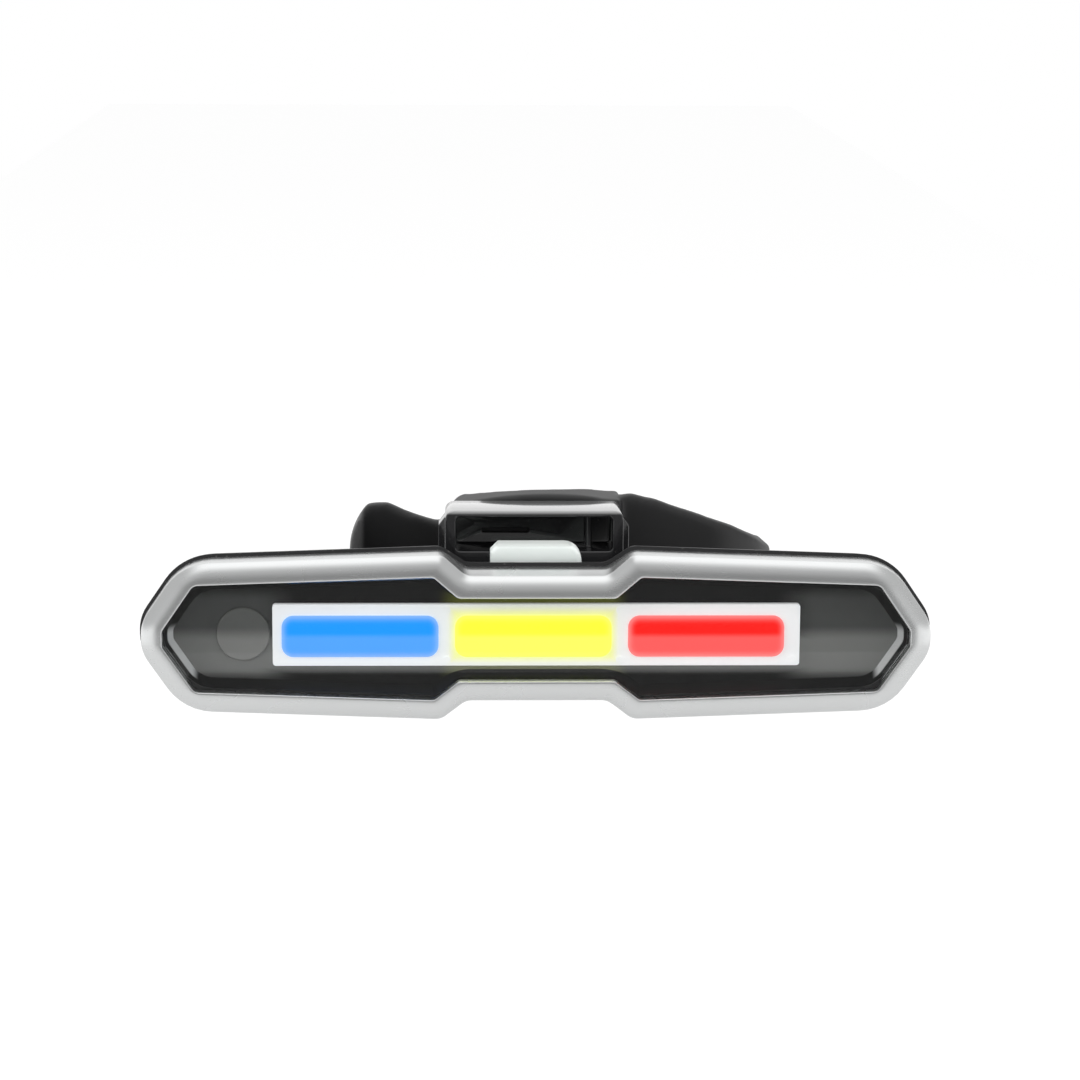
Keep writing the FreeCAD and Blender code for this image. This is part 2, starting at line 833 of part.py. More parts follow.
def spring_washer():
    """Conical washer: its inner edge bears on the screw's head and its outer edge on the hub."""
    inner = pivot_sleeve_radius + slip_gap
    low = y_at(washer_front)
    section = Part.makePolygon(
        [
            Vector(inner, low + washer_cone, 0),
            Vector(washer_radius, low, 0),
            Vector(washer_radius, low + washer_thickness, 0),
            Vector(inner, low + washer_cone + washer_thickness, 0),
            Vector(inner, low + washer_cone, 0),
        ]
    )
    return Part.Face(section).revolve(Vector(0, 0, 0), Vector(0, 1, 0), 360)


def bracket_ear(side):
    """Side rib that the strap is hooked behind."""
    root = side * (bracket_width / 2 - slip_gap)
    tip = side * (bracket_width / 2 + ear_reach)
    depth = bracket_front + ear_depth
    points = [(root, ear_top + ear_slope), (tip, ear_top), (tip, ear_bottom), (root, ear_bottom - ear_slope)]
    outline = Part.makePolygon([Vector(x, y_at(depth), z) for x, z in points + points[:1]])
    return Part.Face(outline).extrude(Vector(0, ear_thickness, 0))


def bracket():
    pocket_z = (hub_top, bracket_top - bracket_rim)
    pocket_back = bracket_rear - bracket_back
    heights = (bracket_bottom, bracket_top)
    frame = tile(around(0, bracket_width), heights, (bracket_front, bracket_rear), bracket_corner)
    frame = frame.fuse([bracket_ear(-1), bracket_ear(1)])
    pocket_x = around(0, bracket_width - 2 * bracket_side)
    vent_depths = (pocket_back - touch_gap, bracket_rear)
    hollows = [
        tile(pocket_x, pocket_z, (bracket_front - touch_gap, pocket_back), pocket_corner),
        tile(pocket_x, rear_pocket_z, (hub_back, bracket_rear + touch_gap), pocket_corner),
        rod(pivot_sleeve_radius + touch_gap, 0, 0, bracket_front - touch_gap, hub_back + touch_gap),
        block(around(vent_x, vent_length), around(vent_z, vent_height), vent_depths),
    ]
    rib = block(around(rib_x, rib_thickness), pocket_z, (pocket_back - rib_depth, pocket_back))
    return frame.cut(hollows).fuse(rib).removeSplitter()


def walk(start, heading, moves):
    """Follow lines and arcs in plan; yields each move with where it starts and how it heads."""
    x, y = start
    for kind, size, turn in moves:
        angle = math.radians(heading)
        yield kind, size, turn, x, y, angle
        if kind == "line":
            x += size * math.cos(angle)
            y += size * math.sin(angle)
        else:
            side = 1 if turn > 0 else -1
            centre = (x - side * size * math.sin(angle), y + side * size * math.cos(angle))
            heading += turn
            angle = math.radians(heading)
            x = centre[0] + side * size * math.sin(angle)
            y = centre[1] - side * size * math.cos(angle)


def side_edges(start, heading, moves, offset):
    """Edges of one side of a ribbon, offset to the left of its middle line."""
    edges = []
    for kind, size, turn, x, y, angle in walk(start, heading, moves):
        first = Vector(x - offset * math.sin(angle), y + offset * math.cos(angle), 0)
        if kind == "line":
            last = first + Vector(size * math.cos(angle), size * math.sin(angle), 0)
            edges.append(Part.LineSegment(first, last).toShape())
        else:
            side = 1 if turn > 0 else -1
            centre = Vector(x - side * size * math.sin(angle), y + side * size * math.cos(angle), 0)
            spokes = [first - centre]
            for share in (0.5, 1.0):
                swing = math.radians(turn * share)
                spoke = spokes[0]
                spokes.append(
                    Vector(
                        spoke.x * math.cos(swing) - spoke.y * math.sin(swing),
                        spoke.x * math.sin(swing) + spoke.y * math.cos(swing),
                        0,
                    )
                )
            points = [centre + spoke for spoke in spokes]
            edges.append(Part.Arc(*points).toShape())
    return edges


def ribbon(start, heading, moves, height):
    """Band of the strap's thickness that follows the moves, centred on Z = 0."""
    left = side_edges(start, heading, moves, strap_thickness / 2)
    right = side_edges(start, heading, moves, -strap_thickness / 2)
    caps = [
        Part.LineSegment(left[0].firstVertex(True).Point, right[0].firstVertex(True).Point).toShape(),
        Part.LineSegment(left[-1].lastVertex(True).Point, right[-1].lastVertex(True).Point).toShape(),
    ]
    wire = Part.Wire(Part.__sortEdges__(left + right + caps))
    wire.translate(Vector(0, 0, -height / 2))
    return Part.Face(wire).extrude(Vector(0, 0, height))


tail_moves = [
    ("line", tail_run, 0),
    ("arc", tail_bend_radius, tail_bend_angle),
    ("line", tail_straight, 0),
    ("arc", tail_curl_radius, tail_curl_angle),
    ("line", tail_end_run, 0),
]
wing_moves = [
    ("line", wing_run, 0),
    ("arc", wing_bend_radius, wing_bend_angle),
    ("line", wing_end_run, 0),
]
tail_start = (saddle_half_width - strap_overlap, y_at(strap_depth))
wing_start = (strap_overlap - saddle_half_width, y_at(strap_depth))


def place_on_tail(distance):
    """Point and heading on the middle line of the tail, a distance along it from the saddle."""
    left = distance
    for kind, size, turn, x, y, angle in walk(tail_start, tail_heading_angle, tail_moves):
        length = size if kind == "line" else size * abs(math.radians(turn))
        if left > length:
            left -= length
            continue
        if kind == "line":
            return x + left * math.cos(angle), y + left * math.sin(angle), angle
        side = 1 if turn > 0 else -1
        centre = (x - side * size * math.sin(angle), y + side * size * math.cos(angle))
        angle += side * left / size
        return centre[0] + side * size * math.sin(angle), centre[1] - side * size * math.cos(angle), angle
    raise ValueError("the distance is past the end of the tail")


def strap_outline():
    """Front view of the wide part of the strap, from the grip at the left to the tail's neck."""
    corners = [
        (-grip_reach, 0),
        (-grip_reach, grip_edge_height),
        (-grip_top_reach, grip_top),
        (-grip_top_end, grip_top),
        (-valley_reach, valley_height),
        (-crown_reach, crown_left_height),
        (crown_end, crown_right_height),
        (slope_reach, slope_height),
        (tail_reach, tail_width / 2),
        (tail_reach, 0),
    ]
    bows = [0, grip_bow, 0, -valley_bow, 0, crown_bow, slope_bow, neck_bow, 0]
    edges = []
    for share in (1, -strap_lower_share):
        for start, end, bow in zip(corners, corners[1:], bows):
            along = unit(end[0] - start[0], end[1] - start[1])
            middle = ((start[0] + end[0]) / 2 - bow * along[1], (start[1] + end[1]) / 2 + bow * along[0])
            spots = [Vector(x, y_at(0), share * z) for x, z in (start, middle, end)]
            edge = Part.Arc(*spots) if bow else Part.LineSegment(spots[0], spots[2])
            edges.append(edge.toShape())
    face = Part.Face(Part.Wire(Part.__sortEdges__(edges)))
    return face.extrude(Vector(0, 2 * lamp_reach, 0))


def saddle():
    """Rubber block with the concave seat for the post and a plug that presses into the bracket."""
    x_range = around(0, 2 * saddle_half_width)
    body = block(x_range, around(0, strap_blank), (saddle_front, saddle_depth))
    lips = block(around(0, 2 * lip_half_width), around(0, lip_height), (strap_depth, lip_depth))
    seat = Part.makeCylinder(post_radius, strap_blank, Vector(0, 0, -strap_blank / 2))
    plug_x = around(0, bracket_width - 2 * bracket_side - 2 * slip_gap)
    plug_z = (rear_pocket_z[0] + slip_gap, rear_pocket_z[1] - slip_gap)
    plug = tile(plug_x, plug_z, (saddle_front - plug_length, saddle_front + slip_gap), pocket_corner)
    return body.fuse(lips).cut(seat), plug


def strap():
    body, plug = saddle()
    to_neck = [tail_moves[0], ("arc", tail_bend_radius, 90 - tail_heading_angle)]
    root = ribbon(tail_start, tail_heading_angle, to_neck, strap_blank)
    wing = ribbon(wing_start, wing_heading_angle, wing_moves, strap_blank)
    *_, last = walk(wing_start, wing_heading_angle, wing_moves + [("line", 0, 0)])
    bead = Part.makeCylinder(bead_radius, strap_blank, Vector(last[3], last[4], -strap_blank / 2))
    wide = body.fuse([root, wing, bead]).common(strap_outline())
    tail = ribbon(tail_start, tail_heading_angle, tail_moves, tail_width)
    *_, end = walk(tail_start, tail_heading_angle, tail_moves + [("line", 0, 0)])
    across = Vector(-math.sin(end[5]), math.cos(end[5]), 0)
    foot = Vector(end[3], end[4], 0) - across * strap_thickness / 2
    tip = Part.makeCylinder(tail_width / 2, strap_thickness, foot, across)
    strap_solid = wide.fuse([tail, tip, plug])
    holes = []
    for i in range(hole_count):
        x, y, angle = place_on_tail(first_hole + i * hole_pitch)
        normal = Vector(-math.sin(angle), math.cos(angle), 0)
        start = Vector(x, y, 0) - normal * 2 * strap_thickness
        holes.append(Part.makeCylinder(hole_radius, 4 * strap_thickness, start, normal))
    grip_depths = (strap_depth - strap_thickness, strap_depth + strap_thickness)
    stud_hole = rod(stud_radius + touch_gap, stud_x, 0, *grip_depths)
    return strap_solid.cut(holes + [stud_hole]).removeSplitter()


def strap_stud():
    """Mushroom stud through the grip, which the holes of the tail snap over."""
    front = strap_depth - strap_thickness / 2 - touch_gap
    back = strap_depth + strap_thickness / 2 + stud_neck
    foot = rod(stud_head_radius, stud_x, 0, front - stud_foot_height - slip_gap, front - slip_gap)
    neck = rod(stud_radius, stud_x, 0, front - 2 * slip_gap, back)
    head = rod(stud_head_radius, stud_x, 0, back, back + stud_head_height)
    head = head.makeFillet(stud_head_height / 2, edges_at(head, "y", y_at(back + stud_head_height)))
    return foot.fuse([neck, head]).removeSplitter()


pieces = {
    "front_bezel": front_bezel,
    "front_lens": front_lens,
    "lens_seal": lens_seal,
    "reflector_tray": reflector_tray,
    "led_board": led_board,
    "led_board_pads": board_pads,
    "indicator_window": indicator_window,
    "indicator_lamp": indicator_lamp,
    "rear_casing": rear_casing,
    "casing_screws": casing_screws,
    "circuit_screws": circuit_screws,
    "main_circuit_board": main_circuit_board,
    "control_chip": control_chip,
    "power_coil": power_coil,
    "small_board_parts": small_parts,
    "battery_cell": battery_cell,
    "battery_foam": battery_foam,
    "battery_leads": battery_leads,
    "led_leads": led_leads,
    "power_button": power_button,
    "switch_body": switch_body,
    "switch_plunger": switch_plunger,
    "charging_socket": charging_socket,
    "socket_tongue": socket_tongue,
    "socket_cover": socket_cover,
    "cover_anchor": cover_anchor,
    "pivot_insert": pivot_insert,
    "pivot_sleeve": pivot_sleeve,
    "pivot_screw": pivot_screw,
    "spring_washer": spring_washer,
    "bracket": bracket,
    "strap": strap,
    "strap_stud": strap_stud,
}

os.makedirs("parts", exist_ok=True)
for name, make in pieces.items():
    make().exportStep(f"parts/{name}.step")
for number, colour in enumerate(strip_colours):
    led_strip(number).exportStep(f"parts/{colour}_led_strip.step")
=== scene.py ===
import math

import bmesh
import bpy
import numpy as np
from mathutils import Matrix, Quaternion, Vector


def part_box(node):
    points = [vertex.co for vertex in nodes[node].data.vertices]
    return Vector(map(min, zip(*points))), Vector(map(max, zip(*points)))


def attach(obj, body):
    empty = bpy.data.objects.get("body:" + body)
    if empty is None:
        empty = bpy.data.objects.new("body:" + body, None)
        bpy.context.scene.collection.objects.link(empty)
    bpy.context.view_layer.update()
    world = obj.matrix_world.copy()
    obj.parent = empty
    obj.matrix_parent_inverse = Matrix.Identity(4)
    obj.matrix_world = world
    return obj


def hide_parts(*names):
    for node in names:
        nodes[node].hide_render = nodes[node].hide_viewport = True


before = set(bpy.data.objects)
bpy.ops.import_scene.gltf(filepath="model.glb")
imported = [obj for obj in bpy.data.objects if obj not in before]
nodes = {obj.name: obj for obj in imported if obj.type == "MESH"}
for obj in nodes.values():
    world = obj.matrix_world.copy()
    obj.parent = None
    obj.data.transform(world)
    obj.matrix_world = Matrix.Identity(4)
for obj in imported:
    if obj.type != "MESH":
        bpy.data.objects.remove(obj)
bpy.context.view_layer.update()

mm = 0.001
print("frame loaded:", len(nodes), "nodes")

# The lamp faces -Y. A depth is measured in millimetres backwards from the front of the bezel.
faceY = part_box("front_bezel")[0][1]


camera = {
    "azimuth": -1.74,         # degrees round to the right from straight in front
    "elevation": 12.0,
    "distance": 0.45,
    "viewWidth": 0.1368,      # width of the picture at the lamp's face
    "shift": (0.0025, 0.0920),
    "roll": 0.3,
    "sensorWidth": 36.0,
    "clip": (0.01, 20.0),
}


def placeCamera():
    around, up, roll = [math.radians(camera[name]) for name in ("azimuth", "elevation", "roll")]
    back = Vector((math.sin(around) * math.cos(up), -math.cos(around) * math.cos(up), math.sin(up)))
    data = bpy.data.cameras.new("camera")
    data.sensor_width = camera["sensorWidth"]
    data.lens = camera["sensorWidth"] * camera["distance"] / camera["viewWidth"]
    data.shift_x, data.shift_y = camera["shift"]
    data.clip_start, data.clip_end = camera["clip"]
    item = bpy.data.objects.new("camera", data)
    item.location = Vector((0.0, faceY, 0.0)) + back * camera["distance"]
    turned = back.to_track_quat("Z", "Y") @ Quaternion((0.0, 0.0, 1.0), roll)
    item.rotation_euler = turned.to_euler()
    bpy.context.collection.objects.link(item)
    bpy.context.scene.camera = item


placeCamera()
print("camera placed")


def setSockets(node, values):
    for label, value in values.items():
        node.inputs[label].default_value = value


def compute(tree, operation, *values, clamp=False):
    # one math node; a value is a plain decimal number or another node's output
    node = tree.nodes.new("ShaderNodeMath")
    node.operation, node.use_clamp = operation, clamp
    for socket, value in zip(node.inputs, values):
        if isinstance(value, float):
            socket.default_value = value
        else:
            tree.links.new(value, socket)
    return node.outputs[0]


def remap(tree, value, start, end, low=0.0, high=1.0, kind="SMOOTHSTEP"):
    # low at the start, high at the end, and held beyond them
    node = tree.nodes.new("ShaderNodeMapRange")
    node.interpolation_type = kind
    setSockets(node, {"From Min": start, "From Max": end, "To Min": low, "To Max": high})
    tree.links.new(value, node.inputs["Value"])
    return node.outputs["Result"]


def fade(tree, value, start, end):
    # from nothing at the start to one at the end, both in millimetres
    if start > end:
        return remap(tree, value, end * mm, start * mm, 1.0, 0.0)
    return remap(tree, value, start * mm, end * mm)


def mixed(tree, share, first, second):
    # first where the share is nothing, second where it is one; each is a colour or a node's output
    node = tree.nodes.new("ShaderNodeMix")
    node.data_type = "RGBA"
    tree.links.new(share, node.inputs[0])
    for socket, colour in ((node.inputs[6], first), (node.inputs[7], second)):
        if isinstance(colour, tuple):
            socket.default_value = (*colour, 1.0)
        else:
            tree.links.new(colour, socket)
    return node.outputs[2]


def mixShaders(tree, share, first, second):
    node = tree.nodes.new("ShaderNodeMixShader")
    for source, socket in zip((share, first.outputs[0], second.outputs[0]), node.inputs):
        tree.links.new(source, socket)
    return node


studio = {
    "floorHeight": -0.056,
    "floorWide": 0.47,
    "floorFront": -0.238,     # the table ends here, in front of the lamp
    "floorBack": 2.0,
    "floorColour": (0.55, 0.55, 0.55, 1.0),
    "floorRoughness": 0.9,
    "floorLift": 0.46,        # what brings the table up to white where it is seen
    "floorMirrored": 0.22,    # and where it is mirrored
    "fillLevel": 0.95,        # light from all round
    "room": [
        # degrees up from straight in front, and how bright the room is there in what metal mirrors
        (-179, 1.00),
        (-90, 1.00),
        (-30, 1.00),
        (-14, 0.24),          # darkest from the table's edge up to the lamp's own height
        (0, 0.24),
        (24, 0.52),
        (70, 1.35),           # the bright ceiling
        (108, 1.35),
        (140, 1.00),          # and the pale wall behind
        (179, 1.00),
    ],
    "sideLow": 1.20,          # the walls to the left and right, below the lamp's height
    "sideHigh": 0.60,         # and above it
    "sideEdge": 0.10,         # half the rise of a ray over which they change
    "sideReach": (0.25, 0.60),    # how far a ray turns outwards before it meets them
    "lamps": [
        # name, place, aimed at, width, height, watts
        ("overheadSoftbox", (0.0, -0.02, 0.60), (0.0, 0.0, 0.0), 0.50, 0.20, 0.25),
        ("leftPanel", (-0.60, -0.30, 0.25), (0.0, -0.02, 0.0), 0.40, 0.40, 1.7),
        ("rightPanel", (0.60, -0.30, 0.25), (0.0, -0.02, 0.0), 0.40, 0.40, 1.2),
    ],
}
white = (1.0, 1.0, 1.0, 1.0)


def rampNode(tree, stops):
    ramp = tree.nodes.new("ShaderNodeValToRGB")
    ramp.color_ramp.interpolation = "EASE"
    marks = ramp.color_ramp.elements
    while len(marks) < len(stops):
        marks.new(0.5)
    for mark, (place, level) in zip(marks, stops):
        mark.position = place
        mark.color = (level, level, level, 1.0)
    return ramp


def rayKinds(tree):
    # 1 for a ray straight on or through the lens, and 1 for a mirrored one; both 0 after a scattering
    path = tree.nodes.new("ShaderNodeLightPath").outputs
    straight = compute(tree, "SUBTRACT", 1.0, path["Diffuse Depth"], clamp=True)
    once = compute(tree, "MINIMUM", path["Glossy Depth"], 1.0)
    through = compute(tree, "SUBTRACT", path["Is Transmission Ray"], path["Glossy Depth"], clamp=True)
    seen = compute(tree, "MAXIMUM", path["Is Camera Ray"], compute(tree, "MULTIPLY", through, straight))
    return seen, compute(tree, "MULTIPLY", straight, once)


def backgroundNode(tree, level=1.0):
    node = tree.nodes.new("ShaderNodeBackground")
    setSockets(node, {"Color": white, "Strength": level})
    return node


def makeWorld():
    world = bpy.data.worlds.new("room")
    world.use_nodes = True
    bpy.context.scene.world = world
    tree = world.node_tree
    tree.nodes.clear()
    out = tree.nodes.new("ShaderNodeOutputWorld")
    split = tree.nodes.new("ShaderNodeSeparateXYZ")
    tree.links.new(tree.nodes.new("ShaderNodeTexCoord").outputs["Generated"], split.inputs[0])
    across, back, up = split.outputs
    # the ramp runs over the whole turn, by the angle up from straight in front
    angle = compute(tree, "ARCTAN2", up, compute(tree, "MULTIPLY", back, -1.0))
    ramp = rampNode(tree, [((degrees + 180) / 360, level) for degrees, level in studio["room"]])
    tree.links.new(remap(tree, angle, -math.pi, math.pi, kind="LINEAR"), ramp.inputs["Fac"])
    # it gives way to the room's two sides as a ray turns outwards
    outwards = remap(tree, compute(tree, "ABSOLUTE", across), *studio["sideReach"])
    edge = studio["sideEdge"]
    sides = remap(tree, up, -edge, edge, studio["sideLow"], studio["sideHigh"])
    room = backgroundNode(tree)
    tree.links.new(mixed(tree, outwards, ramp.outputs["Color"], sides), room.inputs["Color"])
    # white straight on or through the lens, the room after a mirroring, the even fill after a scattering
    seen, mirrored = rayKinds(tree)
    lit = mixShaders(tree, mirrored, backgroundNode(tree, studio["fillLevel"]), room)
    last = mixShaders(tree, seen, lit, backgroundNode(tree))
    tree.links.new(last.outputs[0], out.inputs["Surface"])


def makeLamps():
    for name, place, aim, wide, high, watts in studio["lamps"]:
        data = bpy.data.lights.new(name, "AREA")
        data.shape = "RECTANGLE"
        data.size, data.size_y, data.energy = wide, high, watts
        item = bpy.data.objects.new(name, data)
        item.location = place
        item.rotation_euler = (Vector(place) - Vector(aim)).to_track_quat("Z", "Y").to_euler()
        item.visible_glossy = item.visible_transmission = False
        bpy.context.collection.objects.link(item)


def makeFloor():
    half, low = studio["floorWide"] / 2, studio["floorHeight"]
    front, back = studio["floorFront"], studio["floorBack"]
    mesh = bpy.data.meshes.new("floor")
    corners = [(-half, front, low), (half, front, low), (half, back, low), (-half, back, low)]
    mesh.from_pydata(corners, [], [(0, 1, 2, 3)])
    floor = bpy.data.objects.new("floor", mesh)
    bpy.context.collection.objects.link(floor)
    material = bpy.data.materials.new("paleFloor")
    material.use_nodes = True
    tree = material.node_tree
    shader = tree.nodes["Principled BSDF"]
    setSockets(
        shader,
        {
            "Base Color": studio["floorColour"],
            "Roughness": studio["floorRoughness"],
            "Specular IOR Level": 0.0,
            "Emission Color": white,
        },
    )
    # the camera and glass see it white, metal a little less so, both with its shadows
    seen, mirrored = rayKinds(tree)
    lift = compute(tree, "MULTIPLY", seen, studio["floorLift"])
    lift = compute(tree, "MULTIPLY_ADD", mirrored, studio["floorMirrored"], lift)
    tree.links.new(lift, shader.inputs["Emission Strength"])
    mesh.materials.append(material)


makeWorld()
makeLamps()
makeFloor()
bpy.context.scene.view_settings.view_transform = "Standard"
print("studio ready")


texture = {
    "fineDetail": 3.0,
    "broadDetail": 2.0,
    "broadScale": 0.05,       # the broad cloud's scale as a share of the grain's
    "bump": 0.6,              # strength of the grain's bump
    "scuffTurn": (0.2, 0.5, 0.35),
    "scuffStretch": (0.25, 5.0, 5.0),
    "scuffDetail": 2.0,
    "scuffCut": (0.62, 0.72),     # the noise above this is a mark
    "scuffScale": 900.0,
    "dustCut": (0.16, 0.08),      # and this near to a point is a speck
    "dustScale": 1100.0,
    "dustColour": (0.42, 0.40, 0.38),
}


def startGroup(name, inputs, outputs):
    group = bpy.data.node_groups.new(name, "ShaderNodeTree")
    for direction, sockets in (("INPUT", inputs), ("OUTPUT", outputs)):
        for label, kind in sockets.items():
            group.interface.new_socket(label, in_out=direction, socket_type="NodeSocket" + kind)
    return group, group.nodes.new("NodeGroupInput").outputs, group.nodes.new("NodeGroupOutput").inputs


def startMaskGroup(name):
    inputs = {"Coordinates": "Vector", "Scale": "Float", "Amount": "Float"}
    return startGroup(name, inputs, {"Mask": "Float"})


def noise(group, place, scale, detail):
    node = group.nodes.new("ShaderNodeTexNoise")
    node.inputs["Detail"].default_value = detail
    group.links.new(place, node.inputs["Vector"])
    group.links.new(scale, node.inputs["Scale"])
    return node.outputs["Fac"]


def makeMouldGroup():
    # fine noise is the grain's height; broad noise less a half, times each drift, makes the tint and the
    # roughness drift
    group, source, result = startGroup(
        "mouldGrain",
        {
            "Coordinates": "Vector",
            "Colour": "Color",
            "Roughness": "Float",
            "Grain": "Float",
            "Colour Drift": "Float",
            "Roughness Drift": "Float",
        },
        {"Colour": "Color", "Roughness": "Float", "Height": "Float"},
    )
    place, scale = source["Coordinates"], source["Grain"]
    fine = noise(group, place, scale, texture["fineDetail"])
    wider = compute(group, "MULTIPLY", scale, texture["broadScale"])
    cloud = compute(group, "SUBTRACT", noise(group, place, wider, texture["broadDetail"]), 0.5)
    tint = group.nodes.new("ShaderNodeVectorMath")
    tint.operation = "SCALE"
    strength = compute(group, "MULTIPLY_ADD", cloud, source["Colour Drift"], 1.0)
    group.links.new(source["Colour"], tint.inputs[0])
    group.links.new(strength, tint.inputs["Scale"])
    rough = compute(group, "MULTIPLY_ADD", cloud, source["Roughness Drift"], source["Roughness"])
    group.links.new(tint.outputs[0], result["Colour"])
    group.links.new(rough, result["Roughness"])
    group.links.new(fine, result["Height"])
    return group


def makeScuffGroup():
    # hairline marks: noise stretched along one axis, cut to its highest values
    group, source, result = startMaskGroup("fineScuffs")
    stretch = group.nodes.new("ShaderNodeMapping")
    setSockets(stretch, {"Rotation": texture["scuffTurn"], "Scale": texture["scuffStretch"]})
    group.links.new(source["Coordinates"], stretch.inputs["Vector"])
    streaks = noise(group, stretch.outputs[0], source["Scale"], texture["scuffDetail"])
    marks = remap(group, streaks, *texture["scuffCut"], kind="LINEAR")
    group.links.new(compute(group, "MULTIPLY", marks, source["Amount"]), result["Mask"])
    return group


def makeDustGroup():
    # specks: small round cells round scattered points
    group, source, result = startMaskGroup("dustSpecks")
    cells = group.nodes.new("ShaderNodeTexVoronoi")
    group.links.new(source["Coordinates"], cells.inputs["Vector"])
    group.links.new(source["Scale"], cells.inputs["Scale"])
    specks = remap(group, cells.outputs["Distance"], *texture["dustCut"], kind="LINEAR")
    group.links.new(compute(group, "MULTIPLY", specks, source["Amount"]), result["Mask"])
    return group


mouldGroup = makeMouldGroup()
scuffGroup = makeScuffGroup()
dustGroup = makeDustGroup()


def placeGroup(tree, group, place, values):
    node = tree.nodes.new("ShaderNodeGroup")
    node.node_tree = group
    tree.links.new(place, node.inputs["Coordinates"])
    setSockets(node, values)
    return node.outputs


def makeFinish(
    name,
    colour,
    roughness,
    grain=2500.0,
    depth=0.01,
    drift=0.25,
    roughDrift=0.12,
    scuffs=0.0,
    dust=0.0,
    sockets={},
):
    # drifting tint and roughness and a grain bump, and scuffs and dust where asked for; the depth of the
    # grain is in millimetres
    material = bpy.data.materials.new(name)
    material.use_nodes = True
    tree = material.node_tree
    shader = tree.nodes["Principled BSDF"]
    place = tree.nodes.new("ShaderNodeTexCoord").outputs["Object"]
    values = {"Colour": (*colour, 1.0), "Roughness": roughness, "Grain": grain}
    values |= {"Colour Drift": drift, "Roughness Drift": roughDrift}
    mould = placeGroup(tree, mouldGroup, place, values)
    tint, rough = mould["Colour"], mould["Roughness"]
    if scuffs:
        values = {"Scale": texture["scuffScale"], "Amount": scuffs}
        marks = placeGroup(tree, scuffGroup, place, values)
        rough = compute(tree, "ADD", rough, marks["Mask"], clamp=True)
    if dust:
        values = {"Scale": texture["dustScale"], "Amount": dust}
        specks = placeGroup(tree, dustGroup, place, values)
        tint = mixed(tree, specks["Mask"], tint, texture["dustColour"])
    bump = tree.nodes.new("ShaderNodeBump")
    setSockets(bump, {"Strength": texture["bump"], "Distance": depth * mm})
    tree.links.new(mould["Height"], bump.inputs["Height"])
    tree.links.new(tint, shader.inputs["Base Color"])
    tree.links.new(rough, shader.inputs["Roughness"])
    tree.links.new(bump.outputs[0], shader.inputs["Normal"])
    setSockets(shader, sockets)
    return material


def objectAxes(tree):
    split = tree.nodes.new("ShaderNodeSeparateXYZ")
    tree.links.new(tree.nodes.new("ShaderNodeTexCoord").outputs["Object"], split.inputs[0])
    return split.outputs


def distanceFrom(tree, value, middle=0.0):
    return compute(tree, "ABSOLUTE", compute(tree, "SUBTRACT", value, middle))


def tintAlong(material, axis, reach, colour):
    # the colour comes in along one axis, over a reach in millimetres
    tree = material.node_tree
    base = tree.nodes["Principled BSDF"].inputs["Base Color"]
    share = fade(tree, objectAxes(tree)[axis], *reach)
    tree.links.new(mixed(tree, share, base.links[0].from_socket, colour), base)


meshing = {
    # millimetres and degrees
    "merge": 0.001,           # points of a new piece nearer than this are one
    "copyMerge": 0.002,       # and those of a node's copy
    "flat": 0.5,              # the copy's faces within this angle are joined
    "smallestRadius": 0.25,
    "edgeAngle": 35.0,        # the copy's edges sharper than this are rounded
    "edgeSteps": 3,
    "sharpAngle": 40.0,       # an edge sharper than this shows as one
}


def loopFaces(rows, columns, closed):
    # rows of closed loops: a quad between each pair of neighbours; the last row meets the first one, or
    # else each end is capped
    row, column = np.meshgrid(np.arange(rows if closed else rows - 1), np.arange(columns), indexing="ij")
    nextRow, nextColumn = (row + 1) % rows, (column + 1) % columns
    corners = [row * columns + column, row * columns + nextColumn]
    corners += [nextRow * columns + nextColumn, nextRow * columns + column]
    faces = np.stack(corners, -1).reshape(-1, 4).tolist()
    if not closed:
        faces += [list(range(columns)), list(range((rows - 1) * columns, rows * columns))]
    return faces


def makePiece(name, grid, body, material, replaced, sharpAngle=meshing["sharpAngle"], closed=False):
    mesh = bpy.data.meshes.new(name)
    mesh.from_pydata(grid.reshape(-1, 3).tolist(), [], loopFaces(*grid.shape[:2], closed))
    work = bmesh.new()
    work.from_mesh(mesh)
    bmesh.ops.remove_doubles(work, verts=work.verts, dist=meshing["merge"] * mm)
    bmesh.ops.recalc_face_normals(work, faces=work.faces)
    work.to_mesh(mesh)
    work.free()
    dressPiece(name, mesh, body, material, replaced, sharpAngle)


def dressPiece(name, mesh, body, material, replaced, sharpAngle=meshing["sharpAngle"]):
    mesh.shade_smooth()
    mesh.set_sharp_from_angle(angle=math.radians(sharpAngle))
    mesh.materials.clear()
    mesh.materials.append(material)
    piece = bpy.data.objects.new(name, mesh)
    bpy.context.collection.objects.link(piece)
    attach(piece, body)
    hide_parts(*replaced)


